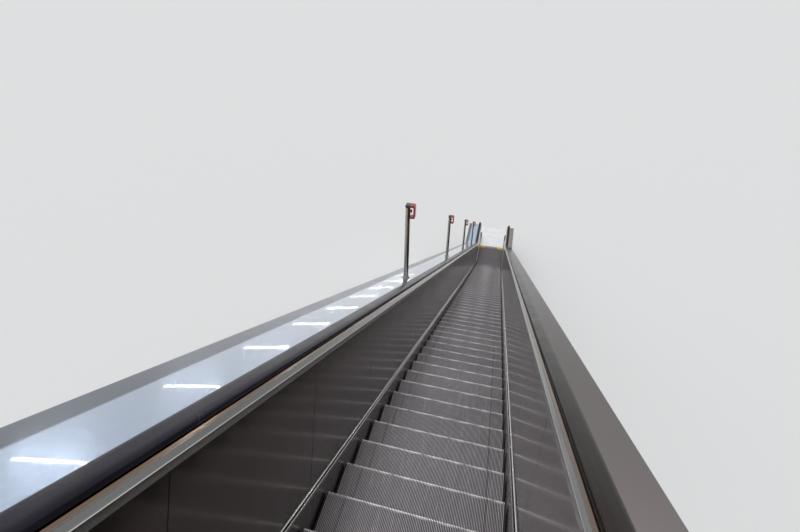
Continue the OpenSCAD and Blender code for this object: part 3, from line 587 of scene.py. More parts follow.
class Shape:
    """Points and faces of one piece, gathered from closed bodies."""

    def __init__(self):
        self.points = []
        self.faces = []
        self.levels = []

    def add(self, points, faces, levels=None):
        base = len(self.points)
        self.points.extend(points)
        self.levels.extend(levels or [0.0] * len(points))
        self.faces.extend([tuple(base + i for i in face) for face in faces])

    def tube(self, rings, closed=False, levels=None):
        """Skins rings of points; an open run gets end faces. Levels go with a ring's points."""
        n, m = len(rings[0]), len(rings)
        faces = []
        for i in range(m if closed else m - 1):
            a, b = i * n, (i + 1) % m * n
            faces += [(a + j, a + (j + 1) % n, b + (j + 1) % n, b + j) for j in range(n)]
        if not closed:
            faces += [tuple(range(n))[::-1], tuple((m - 1) * n + j for j in range(n))]
        self.add([tuple(p) for ring in rings for p in ring], faces, levels * m if levels else None)

    def slab(self, outline, x0, x1):
        """A flat body between x0 and x1 from its side view, drawn as (y, z)."""
        self.tube([[(x, y, z) for y, z in outline] for x in (x0, x1)])

    def box(self, low, high):
        (x0, y0, z0), (x1, y1, z1) = low, high
        self.slab([(y0, z0), (y1, z0), (y1, z1), (y0, z1)], x0, x1)

    def turned(self, centre, axis, profile, parts=32):
        """A round body from (radius, height) points along an axis through centre."""
        axis = Vector(axis).normalized()
        u = axis.orthogonal().normalized()
        v = axis.cross(u)
        turns = even(0, tau, parts)[:-1]
        self.tube([[Vector(centre) + axis * h + (u * cos(a) + v * sin(a)) * r for a in turns]
                   for r, h in profile])

    def bolt(self, centre, axis, width=0.016, height=0.007):
        """Hexagon head on a washer."""
        r = width / sqrt(3)
        self.turned(centre, axis, [(r * 1.35, -0.001), (r * 1.35, 0.0015)], 16)
        self.turned(centre, axis, [(r, 0), (r, 0.8 * height), (r * 0.86, height)], 6)

    def sweep(self, section, s0, s1, side, levels=None):
        self.tube(line_rings(section, s0, s1, side), levels=levels)

    def make(self, name, slot, *nodes, look=None, smooth=None, bevel=None):
        """Makes the piece, which rides on the unit and stands for the named nodes."""
        mesh = bpy.data.meshes.new(name)
        mesh.from_pydata(self.points, [], self.faces)
        mesh.materials.append(Finish.made[look or slot])
        if any(self.levels):
            mesh.attributes.new("level", "FLOAT", "POINT").data.foreach_set("value", self.levels)
        piece = add_object(name, mesh)
        if smooth is not None:
            mesh.shade_smooth()
            mesh.set_sharp_from_angle(angle=radians(smooth))
        if bevel:
            edge = piece.modifiers.new("edge", "BEVEL")
            edge.width = bevel
            edge.segments = 2
            edge.limit_method = "ANGLE"
            edge.angle_limit = radians(40)
        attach(piece, "root")
        if nodes:
            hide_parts(*nodes)

    def refine(self, node, **ways):
        """Makes the fine piece that stands for one node, in that node's slot."""
        self.make(fine_name(node), SLOTS[node], node, **ways)


def path_stations(s0, s1):
    """Distances along the line, close together round the bends."""
    marks = even(0, S_ARC, 20) + even(S_TOP, S_END, 20)
    return [s0] + [s for s in marks if s0 + 1e-6 < s < s1 - 1e-6] + [s1]


def line_rings(section, s0, s1, side):
    """Carries a section of (x, height) points along the step line."""
    return [[(side * x, *on_line(s, h)) for x, h in section] for s in path_stations(s0, s1)]


def rounded(corners, parts=5):
    """Rounds the corners of a section, given as (x, height, radius)."""
    outline = []
    for i, (x, h, radius) in enumerate(corners):
        here = Vector((x, h))
        before = (Vector(corners[i - 1][:2]) - here).normalized()
        after = (Vector(corners[(i + 1) % len(corners)][:2]) - here).normalized()
        half = before.angle(after) / 2
        if radius <= 0 or pi - 2 * half < 1e-3:
            outline.append((x, h))
            continue
        middle = here + (before + after).normalized() * radius / sin(half)
        first = here + before * radius / tan(half) - middle
        last = here + after * radius / tan(half) - middle
        for k in range(parts + 1):
            arm = first.lerp(last, k / parts)
            outline.append(tuple(middle + arm.normalized() * radius))
    return outline


# Fine steps: the true cleats, at a quarter of the spacing that the plain model has
CLEAT_PITCH = 0.009
CLEAT_HALF = 0.0022
CLEAT_DEPTH = 0.01
CLEATS = 109
INSERT_LINE = 0.384
TREAD = STEP_PITCH - STEP_GAP - 0.001
TREAD_T = 0.026
RISER_T = 0.012
RISER_TURN = SLOPE + radians(1.5)
RISER_PARTS = 5
AXLE = (0.3, -0.11)
TRAIL = (0.07, -0.25)
ROLLER_R = 0.038


def riser_point(a, r):
    return TREAD - r * cos(a), -r * sin(a)


def cleat_line(drop):
    """Side view of a cleat's edge, drop below the outer face."""
    inner = TREAD - drop
    first = asin(drop / inner)
    return [(TREAD, -drop)] + [riser_point(a, inner) for a in even(first, RISER_TURN, RISER_PARTS)]


def step_shape():
    """One whole step about its nosing: cleats, tread, riser, ribs and axle."""
    shape = Shape()
    top, root = cleat_line(0), cleat_line(CLEAT_DEPTH)
    for i in range(CLEATS):
        x = (i - (CLEATS - 1) / 2) * CLEAT_PITCH
        half = CLEAT_HALF * (0.55 if abs(abs(x) - INSERT_LINE) < CLEAT_PITCH / 2 else 1)
        # Levels: 1 on the cleat tops, 0 at their roots, where the finish paints shade
        shape.tube([[(x - half, *q), (x - half * 0.8, *p), (x + half * 0.8, *p), (x + half, *q)]
                    for p, q in zip(top, root)], levels=[0.0, 1.0, 1.0, 0.0])
    inner = TREAD - RISER_T
    under = asin(TREAD_T / inner)
    back = [riser_point(a, inner - 0.001) for a in even(under, RISER_TURN, RISER_PARTS)]
    shape.slab(root + back[::-1] + [(TREAD, -TREAD_T)], -HALF_STEP, HALF_STEP)
    rib = [(RISER_T, -TREAD_T), (TREAD - 0.03, -TREAD_T), (AXLE[0] + 0.03, AXLE[1] - 0.03),
           (AXLE[0] - 0.03, AXLE[1] - 0.03), (TRAIL[0], -TREAD * sin(RISER_TURN) + RISER_T),
           riser_point(RISER_TURN * 0.84, inner), riser_point(RISER_TURN * 0.5, inner)]
    for x in (-HALF_STEP + 0.02, -HALF_STEP / 3, HALF_STEP / 3, HALF_STEP - 0.03):
        shape.slab(rib, x, x + 0.01)
    reach, axle_r = CHAIN_X[0], 0.014
    shape.turned((-reach, *AXLE), (1, 0, 0), [(axle_r, 0), (axle_r, 2 * reach)], 12)
    return shape


def make_steps():
    """Steps on the flight and on the landings, in a few joined meshes."""
    step = step_shape()
    flight = [on_line(s) for s in STEP_STATIONS if -STEP_PITCH <= s <= S_END]
    landing = [on_line(s) for s in STEP_STATIONS if s < -STEP_PITCH or s > S_END]
    per_piece = 24
    groups = [("landing_steps_fine", landing, "landing_steps", "landing_treads")]
    for i in range(0, len(flight), per_piece):
        name = "flight_steps_%d" % (i // per_piece + 1)
        groups.append((name, flight[i:i + per_piece], "flight_steps", "flight_treads"))
    for name, places, node, look in groups:
        shape = Shape()
        for y, z in places:
            shape.add([(px, py + y, pz + z) for px, py, pz in step.points], step.faces, step.levels)
        shape.make(name, "tread_aluminium", node, look=look)


def make_rollers():
    """Chain rollers: a tyre, a dished web and a hub."""
    shape = Shape()
    profile = [
        (0.008, -0.001), (0.012, 0.002), (0.03, 0), (0.0365, 0.002), (ROLLER_R, 0.005),
        (ROLLER_R, 0.017), (0.0365, 0.02), (0.03, 0.022), (0.027, 0.018), (0.017, 0.017),
        (0.015, 0.022), (0.009, 0.022), (0.007, 0.02)
    ]
    for y, z in [on_line(s) for s in STEP_STATIONS]:
        for side in (-1, 1):
            centre = (side * CHAIN_X[1], y + AXLE[0], z + AXLE[1])
            shape.turned(centre, (side, 0, 0), profile, 24)
    shape.refine("step_rollers", smooth=35)


# Step chain and its wheels
WHEEL_R = 0.33
WHEEL_TEETH = 15
LINK_PITCH = STEP_PITCH / 3
LINK_HALF = 0.021
CHAIN_BOTTOM = -2 * WHEEL_R


def chain_pins():
    """Centres (y, z) of the pins round the whole loop."""
    links = 3 * (STEP_COUNT - 1)
    half_turn = [tau * i / WHEEL_TEETH for i in range(1, WHEEL_TEETH // 2 + 1)]
    y_low, z_low = on_line(FIRST_STEP)
    y_up, z_up = on_line(LAST_STEP)
    pins = [on_line(FIRST_STEP + i * LINK_PITCH) for i in range(links + 1)]
    pins += [(y_up + WHEEL_R * sin(a), z_up - WHEEL_R + WHEEL_R * cos(a)) for a in half_turn]
    for i in range(links):
        q = FIRST_STEP + (links - i - 0.5) * LINK_PITCH
        pins.append(on_line(by_length(q, CHAIN_BOTTOM), CHAIN_BOTTOM))
    pins += [(y_low - WHEEL_R * sin(a), z_low - WHEEL_R + WHEEL_R * cos(a)) for a in half_turn[::-1]]
    return [(y + AXLE[0], z + AXLE[1]) for y, z in pins]


def link_plate(a, b):
    """Side view of a link between two pins, waisted in the middle."""
    along = Vector((b[0] - a[0], b[1] - a[1])).normalized()
    across = Vector((-along.y, along.x))
    outline = []
    for pin, way in ((Vector(a), -1), (Vector(b), 1)):
        for turn in even(radians(-75), radians(75), 6):
            arm = along * cos(turn) * way + across * sin(turn) * way
            outline.append(tuple(pin + arm * LINK_HALF))
    return outline


def make_chains():
    """Both step chains: plates inside and outside by turns, with pins and rollers."""
    pins = chain_pins()
    plate, pin_r, bush_r, proud = 0.003, 0.008, 0.016, 0.001
    width = CHAIN_X[1] - CHAIN_X[0]
    for word, side in SIDES:
        shape = Shape()
        for i, pin in enumerate(pins):
            inset = plate * (i % 2)
            outline = link_plate(pin, pins[(i + 1) % len(pins)])
            for x in (CHAIN_X[0] + inset, CHAIN_X[1] - inset - plate):
                shape.slab(outline, side * x, side * (x + plate))
            centre = (side * CHAIN_X[0], *pin)
            shape.turned(centre, (side, 0, 0), [(pin_r, -proud), (pin_r, width + proud)], 8)
            shape.turned(centre, (side, 0, 0), [(bush_r, 2.2 * plate), (bush_r, 3.8 * plate)], 12)
        shape.refine("step_chain_" + word)


def spoke_axes(a):
    """The way out from a wheel's centre at angle a, and the way across it."""
    return Vector((sin(a), cos(a))), Vector((cos(a), -sin(a)))


def wheel_outline():
    """Teeth and roller seats round a chain wheel, about its centre."""
    turn = tau / WHEEL_TEETH
    seat_r, tooth_h = 0.018, 0.016
    outline = []
    for i in range(WHEEL_TEETH):
        out, across = spoke_axes(i * turn)
        for a in even(-pi / 2, pi / 2, 6):
            outline.append(out * (WHEEL_R - seat_r * cos(a)) + across * seat_r * sin(a))
        for part in (0.38, 0.62):
            outline.append(spoke_axes((i + part) * turn)[0] * (WHEEL_R + tooth_h))
    return outline


def make_wheels():
    """Toothed chain wheels with spokes, a hub and a shaft."""
    outer = wheel_outline()
    rim_r, spokes, shaft_r, shaft_x = 0.25, 5, 0.045, UPRIGHT_X + CHORD / 8
    inner = [p.normalized() * rim_r for p in outer]
    spoke_ends = ((0.06, 0.05), (0.256, 0.028), (0.256, -0.028), (0.06, -0.05))
    hub = [(0.085, 0), (0.09, 0.004), (0.09, 0.052), (0.075, 0.058)]
    middle, half = sum(CHAIN_X) / 2, (CHAIN_X[1] - CHAIN_X[0]) * 0.15
    for node, s in (("lower_turn_wheels", FIRST_STEP), ("upper_drive_wheels", LAST_STEP)):
        shape = Shape()
        y, z = on_line(s)
        y, z = y + AXLE[0], z + AXLE[1] - WHEEL_R
        for side in (-1, 1):
            x0, x1 = side * middle - half, side * middle + half
            rim = ((x0, outer), (x1, outer), (x1, inner), (x0, inner))
            shape.tube([[(x, y + p.x, z + p.y) for p in ring] for x, ring in rim], closed=True)
            for i in range(spokes):
                out, across = spoke_axes(tau * i / spokes)
                corners = [out * r + across * w for r, w in spoke_ends]
                shape.slab([(y + p.x, z + p.y) for p in corners], x0 + 0.001, x1 - 0.001)
            shape.turned((side * (middle - 0.035), y, z), (side, 0, 0), hub, 32)
        shape.turned((-shaft_x, y, z), (1, 0, 0), [(shaft_r, 0), (shaft_r, 2 * shaft_x)], 32)
        shape.refine(node, smooth=30)


def make_comb(node, y, z, out):
    """Comb plate with its ramp and one tooth in each groove."""
    shape = Shape()
    tooth_l, tooth_half, under = 0.06, 0.0015, 0.005
    screw = [(0.008, 0), (0.008, 0.0008), (0.006, 0.0016)]

    def side(points):
        return [(y - out * u, z + v) for u, v in points]

    ramp = [(-COMB_BACK, under), (-tooth_l, 0.003), (-tooth_l, 0.016), (-COMB_BACK, FLOOR_H)]
    shape.slab(side(ramp), -SKIRT_X, SKIRT_X)
    tooth = side([(-tooth_l - 0.005, 0.004), (-tooth_l, 0.004), (-tooth_l / 2, -0.006), (0, -0.007),
                  (0, -0.003), (-tooth_l * 0.6, 0.01), (-tooth_l - 0.005, 0.0155)])
    for i in range(CLEATS - 1):
        x = (i - (CLEATS - 2) / 2) * CLEAT_PITCH
        shape.slab(tooth, x - tooth_half, x + tooth_half)
    for x in (-0.4, -0.24, -0.08, 0.08, 0.24, 0.4):
        shape.turned((x, *side([(-0.12, 0.0195)])[0]), (0, 0, 1), screw, 16)
    shape.refine(node)


# Handrail section, half of it from the mouth round to the crown, as across and up from the lip
RAIL_HALF_SECTION = [
    (0, 0.024), (0.03, 0.024), (0.032, 0.022), (0.032, 0.013), (0.03, 0.011), (0.022, 0.011),
    (0.022, 0.002), (0.024, 0), (0.036, 0), (0.04, 0.0012), (0.042, 0.0045), (0.0425, 0.01),
    (0.0425, 0.017), (0.0415, 0.0225), (0.039, 0.0272), (0.0355, 0.0305), (0.0305, 0.0326),
    (0.022, 0.0337), (0.011, 0.034)
]


def newel_rings(section, turns, end, side):
    """The section at each angle round a newel, from its top outwards."""
    y, z, out = end
    return [[(side * x, y + out * (h - NEWEL_H) * sin(a), z + NEWEL_H + (h - NEWEL_H) * cos(a))
             for x, h in section] for a in turns]


def make_handrail(node, side, look):
    """The handrail's whole loop, over the newels and back inside the balustrade."""
    half = RAIL_HALF_SECTION + [(-x, h) for x, h in RAIL_HALF_SECTION[:0:-1]]
    section = [(RAIL_X + x, LIP + h) for x, h in half]
    below = [(x, 2 * NEWEL_H - h) for x, h in section]
    turns = even(0, pi, 36)[1:-1]
    rings = line_rings(section, *RAIL_ENDS, side) + newel_rings(section, turns, NEWELS[1], side)
    rings += line_rings(below, *RAIL_ENDS, side)[::-1]
    rings += newel_rings(section, turns[::-1], NEWELS[0], side)
    shape = Shape()
    shape.tube(rings, closed=True)
    shape.refine(node, look=look, smooth=40)


def make_profile(node, side):
    """Top profile between the panel and the handrail, with soft corners, round both newels."""
    web = RAIL_X - GUIDE_WEB / 2
    nose, crest = PANEL_X - 0.008, LIP - 0.0025
    section = rounded([
        (PANEL_X, PANEL_TOP, 0.0008), (nose, PANEL_TOP + 0.007, 0.003), (nose, LIP - 0.028, 0.0045),
        (PANEL_X + 0.0075, LIP - 0.0115, 0.0003), (PANEL_X + 0.0085, LIP - 0.0135, 0),
        (PANEL_X + 0.0095, LIP - 0.0125, 0), (PANEL_X + 0.0093, LIP - 0.0098, 0.0003),
        (PANEL_X + 0.0195, crest, 0.001), (web, crest, 0), (web, SEAT, 0), (PANEL_BACK, SEAT, 0),
        (PANEL_BACK, PANEL_TOP, 0)
    ])
    turns = even(0, NEWEL_SWEEP, 24)[1:]
    shape = Shape()
    shape.tube(newel_rings(section, turns[::-1], NEWELS[0], side)
               + line_rings(section, *RAIL_ENDS, side)
               + newel_rings(section, turns, NEWELS[1], side))
    shape.refine(node, smooth=30)


def make_decks():
    """Outer decks with a rolled edge."""
    hem = 0.06
    web = RAIL_X + GUIDE_WEB / 2
    for node, side, edge, look in (("wide_deck", 1, WIDE_X, "deck_steel"),
                                   ("narrow_deck", -1, NARROW_X, "narrow_deck_painted_reflection")):
        section = rounded([(web, DECK, 0), (edge, DECK, 0.005), (edge, DECK - hem, 0.001),
                           (edge - 0.003, DECK - hem, 0.001), (edge - 0.003, DECK - SHEET, 0.002),
                           (web, DECK - SHEET, 0)])
        shape = Shape()
        shape.sweep(section, *RAIL_ENDS, side)
        shape.refine(node, look=look, smooth=30)


def make_balustrade():
    """Inner panels and skirt covers, swept smoothly round the bends."""
    stations = [low_s(NEWEL_LOW + NEWEL_BACK), 0, *FLIGHT_STATIONS, S_END, up_s(NEWEL_UP - NEWEL_BACK)]
    ends = (low_s(NEWEL_LOW - PLINTH_BACK), up_s(NEWEL_UP + PLINTH_BACK))
    half_gap = JOINT_GAP / 2
    front = SKIRT_X + 0.003
    roll = rounded([(front, SKIRT_H, 0), (front, SKIRT_H + 0.011, 0.003),
                    (front + 0.0065, SKIRT_H + 0.014, 0.002), (front + 0.0075, SKIRT_H + 0.008, 0)], 4)
    lip = rounded([(FOOT_X - 0.0055, SKIRT_H + 0.008, 0), (FOOT_X - 0.005, PANEL_LOW, 0.0018),
                   (PANEL_BACK, PANEL_LOW, 0), (PANEL_BACK, PANEL_LOW - SHEET, 0)], 4)
    cover = roll + lip + [(FOOT_X - 0.004, PANEL_LOW - SHEET - 0.008), (front + SHEET, SKIRT_H)]
    # Levels for the finish: 1 on the lip, painted as a highlight; 0 in the groove, painted as shade;
    # 0.5 elsewhere
    cover_levels = [0.5] * (len(roll) - 1) + [0.0, 0.0] + [1.0] * (len(lip) - 1) + [0.5, 0.5]
    foot_back = FOOT_X + SHEET
    panel = [(FOOT_X, PANEL_LOW), (foot_back, PANEL_LOW), (PANEL_BACK, PANEL_TOP), (PANEL_X, PANEL_TOP)]
    wedge = [panel[0], (PANEL_BACK, PANEL_LOW), *panel[2:]]
    strap_t, strap_half = 0.004, 0.025
    strap = [(foot_back, PANEL_LOW), (foot_back + strap_t, PANEL_LOW),
             (PANEL_BACK + strap_t, PANEL_TOP), (PANEL_BACK, PANEL_TOP)]
    for word, side in SIDES:
        shape = Shape()
        shape.sweep(cover, *ends, side, cover_levels)
        shape.refine("skirt_cover_" + word, smooth=30)
        shape = Shape()
        for a, b in zip(stations, stations[1:]):
            shape.sweep(panel, a + half_gap, b - half_gap, side)
        for s in stations[1:-1]:
            shape.sweep(strap, s - strap_half, s + strap_half, side)
        for s in (stations[0] + half_gap, stations[-1] - half_gap - SHEET):
            shape.sweep(wedge, s, s + SHEET, side)
        shape.refine("inner_panels_" + word)


def newel_curve(r, a0, a1, parts):
    """Points on the newel's curve from angle a0 to a1, outwards as positive."""
    return [(r * sin(a), NEWEL_H + r * cos(a)) for a in even(a0, a1, parts)]


def newel_sheet(r):
    foot_turn = pi - asin(PLINTH_BACK / r)
    return ([(-NEWEL_BACK, PANEL_LOW), (-NEWEL_BACK, NEWEL_H + r)] + newel_curve(r, 0, foot_turn, 48)
            + [(PLINTH_BACK, PANEL_LOW)])


def newel_rim(r0, r1):
    return ([(-NEWEL_BACK, NEWEL_H + r1)] + newel_curve(r1, 0, NEWEL_SWEEP, 40)
            + newel_curve(r0, NEWEL_SWEEP, 0, 40) + [(-NEWEL_BACK, NEWEL_H + r0)])


def make_newels():
    """Newel sheets and rims with a smooth curve."""
    r_in, r_rim = PANEL_TOP - NEWEL_H, SEAT - NEWEL_H
    bodies = [(newel_sheet(r_in), PANEL_X, PANEL_BACK),
              (newel_sheet(r_rim - SHEET), UPRIGHT_X - SHEET, UPRIGHT_X),
              (newel_rim(r_rim - SHEET, r_rim), PANEL_BACK, UPRIGHT_X)]
    for node, (y, z, out) in zip(("lower_newels", "upper_newels"), NEWELS):
        shape = Shape()
        for outline, x0, x1 in bodies:
            placed = [(y + out * u, z + v) for u, v in outline]
            for side in (-1, 1):
                shape.slab(placed, side * x0, side * x1)
        shape.refine(node, smooth=20)


def make_floor(word, outer, front, inner, z):
    """Access covers: framed plates with raised ribs along the way of walking."""
    shape = Shape()
    border, rib, rib_pitch, rib_high, rib_root = 0.014, 0.008, 0.018, 0.002, 0.0005
    end_gap, under = 0.006, 0.005
    split = 0.0015 if inner > outer else -0.0015
    middle = outer + (front - outer) / 2
    top = z + FLOOR_H
    plate = top - rib_high
    for half, *ends in ((TRUSS_X, outer, middle - split), (TRUSS_X, middle + split, front - split),
                        (SKIRT_X, front + split, inner)):
        y0, y1 = sorted(ends)
        shape.box((-half, y0, z + under), (half, y1, plate))
        x_in, y_in, y_out = half - border, y0 + border, y1 - border
        for xa, xb, ya, yb in ((-half, half, y0, y_in), (-half, half, y_out, y1),
                               (-half, -x_in, y_in, y_out), (x_in, half, y_in, y_out)):
            shape.box((xa, ya, plate - rib_root), (xb, yb, top))
        rib_y = (y_in + end_gap, y_out - end_gap)
        count = int((2 * half - 2 * border - rib_pitch) / rib_pitch)
        for i in range(count):
            x = (i - (count - 1) / 2) * rib_pitch
            side = [(x - rib / 2, plate - rib_root), (x + rib / 2, plate - rib_root),
                    (x + rib * 0.35, top), (x - rib * 0.35, top)]
            shape.tube([[(px, y, pz) for px, pz in side] for y in rib_y])
    shape.make(word + "_floor_fine", "floor_steel", word + "_floor_plate")


# Emergency stop posts
POST_X = RAIL_OUT + 0.15
POST_R = 0.03
POST_H = 1.05
POST_ROOT = 0.1
POST_STEP = 5.8
POST_LEAD = 2.22
POST_TAIL = 5.6
GUARD = (0.062, 0.18)
GUARD_BAR = 0.022
GUARD_HALF = 0.035
CAP_H = 0.03
BUTTON_DROP = 0.06
SCREW_CIRCLE = 0.043


def make_posts():
    """Posts with base rings and screws; red heads with a guard round the button."""
    posts, heads, buttons = Shape(), Shape(), Shape()
    first = RAIL_ENDS[0] + POST_LEAD
    count = floor((RAIL_ENDS[1] - POST_TAIL - first) / POST_STEP + 1e-6) + 1
    out, bar = -POST_R - GUARD[0], GUARD_BAR
    top = POST_H + CAP_H
    low = top - GUARD[1]
    guard = rounded([
        (POST_R, POST_H, 0.002), (POST_R, top, 0.012), (out, top, bar), (out, low, bar),
        (-POST_R, low, 0.002), (-POST_R, low + bar, 0.002), (out + bar, low + bar, 0.008),
        (out + bar, POST_H, 0.008)
    ], 6)
    collar = [(r, POST_H - drop) for r, drop in ((POST_R, 0.26), (0.0325, 0.258), (0.0325, 0.242),
                                                 (POST_R, 0.24))]
    base_ring = [(0.051, -0.0005), (0.051, 0.007), (0.048, 0.012), (0.036, 0.014), (0.031, 0.014)]
    stem = [(0.013, 0), (0.013, 0.006), (0.016, 0.0065), (0.0165, 0.01)]
    button = [(0.012, 0.009), (0.022, 0.011), (0.0235, 0.014), (0.0225, 0.019), (0.018, 0.023),
              (0.01, 0.0255), (0.003, 0.0262)]
    upright, inwards = (0, 0, 1), (-1, 0, 0)
    for i in range(count):
        base, along, up = station_axes(first + i * POST_STEP)
        foot = base + Vector((POST_X, 0, 0)) + up * DECK
        posts.turned(foot, upright, [(POST_R, -POST_ROOT), (POST_R, POST_H - 0.012)], 40)
        posts.turned(foot, upright, collar, 40)
        posts.turned(foot, up, base_ring, 40)
        for a in even(pi / 4, pi * 7 / 4, 3):
            screw = foot + (Vector((cos(a), 0, 0)) + along * sin(a)) * SCREW_CIRCLE
            posts.bolt(screw + up * 0.0125, up, 0.007, 0.003)
        heads.tube([[(foot.x + u, foot.y + y, foot.z + v) for u, v in guard]
                    for y in (-GUARD_HALF, GUARD_HALF)])
        centre = foot + Vector((-POST_R + 0.004, 0, POST_H - BUTTON_DROP))
        buttons.turned(centre, inwards, stem, 24)
        buttons.turned(centre, inwards, button, 32)
    posts.refine("stop_posts", smooth=30)
    heads.make("stop_guards", "stop_red", "stop_heads", smooth=30, bevel=0.003)
    buttons.make("stop_buttons", "stop_red", "stop_heads", smooth=30)


def make_truss_joints():
    """Gusset plates with bolts where the lattice bars meet the chords."""
    stations = [low_s(END_SET + 0.01) + 0.06, low_s(COMB_LOW - STEP_PITCH + AXLE[0]), 0,
                *FLIGHT_STATIONS, S_END, up_s(END_UP - 0.01) - 0.06]
    reach, neck, deep, lap, shoulder, plate = 0.19, 0.085, 0.17, 0.03, 0.05, 0.012
    x_out = TRUSS_X - 0.002
    for word, side in SIDES:
        shape = Shape()
        for i, s in enumerate(stations):
            base, along, up = station_axes(s)
            left = -neck if i == 0 else -reach
            right = neck if i == len(stations) - 1 else reach
            outline = [(left, -lap), (right, -lap), (right * 0.95, shoulder), (neck, deep),
                       (-neck, deep), (left * 0.95, shoulder)]
            for edge, way in ((CHORD_TOP - CHORD, -1), (TRUSS_LOW + CHORD, 1)):
                points = [base + along * u + up * (edge + way * v) for u, v in outline]
                shape.slab([(p.y, p.z) for p in points], side * (x_out - plate), side * x_out)
                for v in (0.045, 0.09, 0.135):
                    for u in (-0.03, 0.03):
                        spot = base + along * u + up * (edge + way * v) + Vector((side * x_out, 0, 0))
                        shape.bolt(spot, (side, 0, 0), 0.018, 0.001)
        shape.make("truss_gussets_" + word, "truss_paint")


def make_machine():
    """Gear case with ribs and bolts, and a finned motor under a fan cover."""
    shape = Shape()
    y0 = on_line(LAST_STEP)[0] + AXLE[0] + WHEEL_R + 0.28
    bed = UPPER_Z + TRUSS_LOW + CHORD
    bed_x, foot_x = TRUSS_X - CHORD / 4, 0.17
    bar_w, bar_h, bar_t = 0.07, 0.04, 0.008
    half, long, tall = 0.18, 0.3, 0.38
    y1, y_mid = y0 + long, y0 + long / 2
    for y in (y0 + bar_w / 2, y1 - 1.5 * bar_w):
        shape.slab([(y, bed), (y + bar_w, bed), (y + bar_w, bed + bar_t), (y + bar_t, bed + bar_t),
                    (y + bar_t, bed + bar_h), (y, bed + bar_h)], -bed_x, bed_x)
        shape.box((-foot_x, y, bed + 0.006), (foot_x, y + 0.06, bed + bar_h))
    z0 = bed + bar_h
    z1 = z0 + tall
    body = half - 0.02
    case = rounded([(-body, z0, 0), (body, z0, 0), (body, z1, 0.05), (-body, z1, 0.05)], 6)
    flange = 0.014
    lengths = ((y0 + 0.012, y1 - 0.012, 1), (y0, y0 + flange, 1.06), (y1 - flange, y1, 1.06))
    for start, end, wide in lengths:
        shape.tube([[(x * wide, y, z) for x, z in case] for y in (start, end)])
    for rise in (0.08, 0.16, 0.24):
        shape.box((-half, y0 + 0.02, z0 + rise), (half, y1 - 0.02, z0 + rise + 0.012))
    shape.box((-half, y0, z0), (half, y1, z0 + 0.018))
    bearing = [(0.085, -0.01), (0.085, 0.008), (0.06, 0.012), (0.03, 0.018)]
    for side in (-1, 1):
        centre = Vector((side * body, y_mid, z0 + 0.15))
        shape.turned(centre, (side, 0, 0), bearing, 40)
        for a in even(0, tau, 6)[:-1]:
            spot = centre + Vector((side * 0.008, 0.072 * cos(a), 0.072 * sin(a)))
            shape.bolt(spot, (side, 0, 0), 0.013, 0.006)
    root, tip = 0.108, 0.127
    fins = []
    for k in range(20):
        h = 0.03 + 0.0135 * k
        fins += [(root, h), (tip, h + 0.003), (tip, h + 0.006), (root, h + 0.009)]
    for profile in ([(0.13, -0.01), (0.13, 0.016), (0.112, 0.02)], [(root, 0.01), *fins, (root, 0.32)],
                    [(0.11, 0.312), (0.11, 0.375), (0.1, 0.387), (0.05, 0.39)]):
        shape.turned((0, y_mid, z1), (0, 0, 1), profile, 48)
    shape.box((0.09, y_mid - 0.06, z1 + 0.12), (0.155, y_mid + 0.06, z1 + 0.22))
    shape.refine("drive_machine", smooth=35)


def make_fixings():
    """Screws in the plinths, and bolts through the two support brackets."""
    screws, bolts = Shape(), Shape()
    head = [(0.008, -0.001), (0.008, 0.0005), (0.006, 0.002), (0.003, 0.0025)]
    for y, z, out in NEWELS:
        for x in (SKIRT_X + 0.03, TRUSS_X - 0.04):
            for h in (FLOOR_H + 0.03, PLINTH_H - 0.03):
                for side in (-1, 1):
                    screws.turned((side * x, y + out * PLINTH_FRONT, z + h), (0, out, 0), head, 20)
    screws.make("plinth_screws", "panel_steel", smooth=40)
    for y, z, out in ((END_SET, 0, -1), (END_UP, RISE, 1)):
        for i in range(-4, 4):
            spot = Vector((TRUSS_X * (2 * i + 1) / 8, y + out * 0.06, z + 0.02))
            bolts.bolt(spot + Vector((0, 0, 0.005)), (0, 0, 1), 0.03, 0.018)
            bolts.turned(spot, (0, 0, 1), [(0.01, 0), (0.01, 0.045)], 16)
    bolts.make("bracket_bolts", "track_steel")


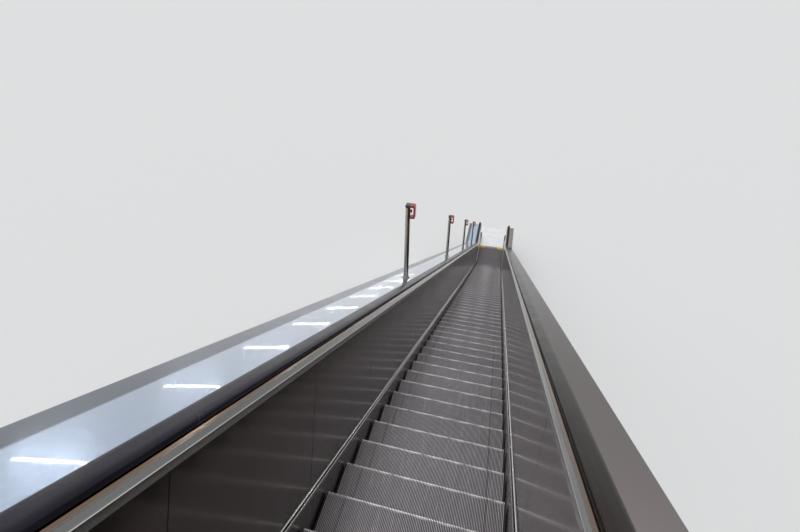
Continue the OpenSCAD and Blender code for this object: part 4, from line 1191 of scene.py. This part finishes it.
def make_stage():
    """A pale floor under the truss, a pale world, soft lamps."""
    z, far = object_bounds()[0][2] - 0.002, 1500
    mesh = bpy.data.meshes.new("floor")
    corners = [(-far, -far, z), (far, -far, z), (far, far, z), (-far, far, z)]
    mesh.from_pydata(corners, [], [(0, 1, 2, 3)])
    pale = Finish("floor_pale", Roughness=0.9, Specular_IOR_Level=0.1)
    pale.shader.inputs["Base Color"].default_value = (0.84, 0.84, 0.84, 1)
    mesh.materials.append(Finish.made["floor_pale"])
    add_object("floor", mesh)

    # The sky's own level lights the unit; the camera and the gloss see it a little paler
    lit, seen = 0.72, 0.9
    world = bpy.data.worlds.new("studio")
    world.use_nodes = True
    bpy.context.scene.world = world
    sky = Nodes(world.node_tree)
    rays = [sky.node("ShaderNodeLightPath", output="Is %s Ray" % kind)
            for kind in ("Camera", "Glossy", "Transmission")]
    strength = (rays[0] + rays[1] + rays[2]).clamp() * (seen - lit) + lit
    background = world.node_tree.nodes["Background"]
    background.inputs["Color"].default_value = (0.98, 0.99, 1.0, 1)
    world.node_tree.links.new(strength.socket, background.inputs["Strength"])

    def lamp(name, kind, energy, at, turn, **settings):
        data = bpy.data.lights.new(name, kind)
        data.energy = energy
        for key, value in settings.items():
            setattr(data, key, value)
        add_object(name, data, at, turn).visible_camera = False

    lamp("key", "SUN", 0.6, (0, 0, 30), (28, 18, 0), angle=radians(25))
    # Soft strips over the flight, square to the slope, as a row of studio tubes
    strips, strip_pitch, over = 12, 2.47, 2.64
    for column, x in (("near", 0.05), ("far", 3.58)):
        for k in range(strips):
            y, z = on_line(S_TOP - 0.47 - strip_pitch * k, over)
            lamp("strip_%s_%d" % (column, k + 1), "AREA", 3.2, (x, y, z), (degrees(SLOPE), 0, 0),
                 shape="RECTANGLE", size=0.95, size_y=0.02)


def make_camera():
    data = bpy.data.cameras.new("camera")
    data.sensor_width = 36
    data.lens = FOCUS_PIXELS * data.sensor_width / PICTURE[0]
    data.shift_x = (PICTURE[0] / 2 - CENTRE_PIXEL[0]) / PICTURE[0]
    data.shift_y = (CENTRE_PIXEL[1] - PICTURE[1] / 2) / PICTURE[0]
    data.clip_end = 3000
    bpy.context.scene.camera = add_object("camera", data, CAMERA_AT, CAMERA_TURN)


def main():
    bpy.context.scene.view_settings.view_transform = "Standard"
    make_camera()
    make_finishes()
    dress_frame()
    make_stage()
    make_steps()
    make_rollers()
    make_chains()
    make_wheels()
    make_comb("lower_comb", COMB_LOW, WALK_Z, -1)
    make_comb("upper_comb", COMB_UP, UPPER_Z, 1)
    # The right handrail wears the copy of its rubber with a painted warm reflection
    for (word, side), look in zip(SIDES, ("handrail_rubber", "rubber_painted_wall_reflection")):
        make_handrail("handrail_" + word, side, look)
        make_profile("rail_profile_" + word, side)
    make_decks()
    make_balustrade()
    make_newels()
    make_floor("lower", END_SET, NEWEL_LOW - PLINTH_FRONT, COMB_LOW - COMB_BACK, WALK_Z)
    make_floor("upper", END_UP, NEWEL_UP + PLINTH_FRONT, COMB_UP + COMB_BACK, UPPER_Z)
    make_posts()
    make_truss_joints()
    make_machine()
    make_fixings()


main()
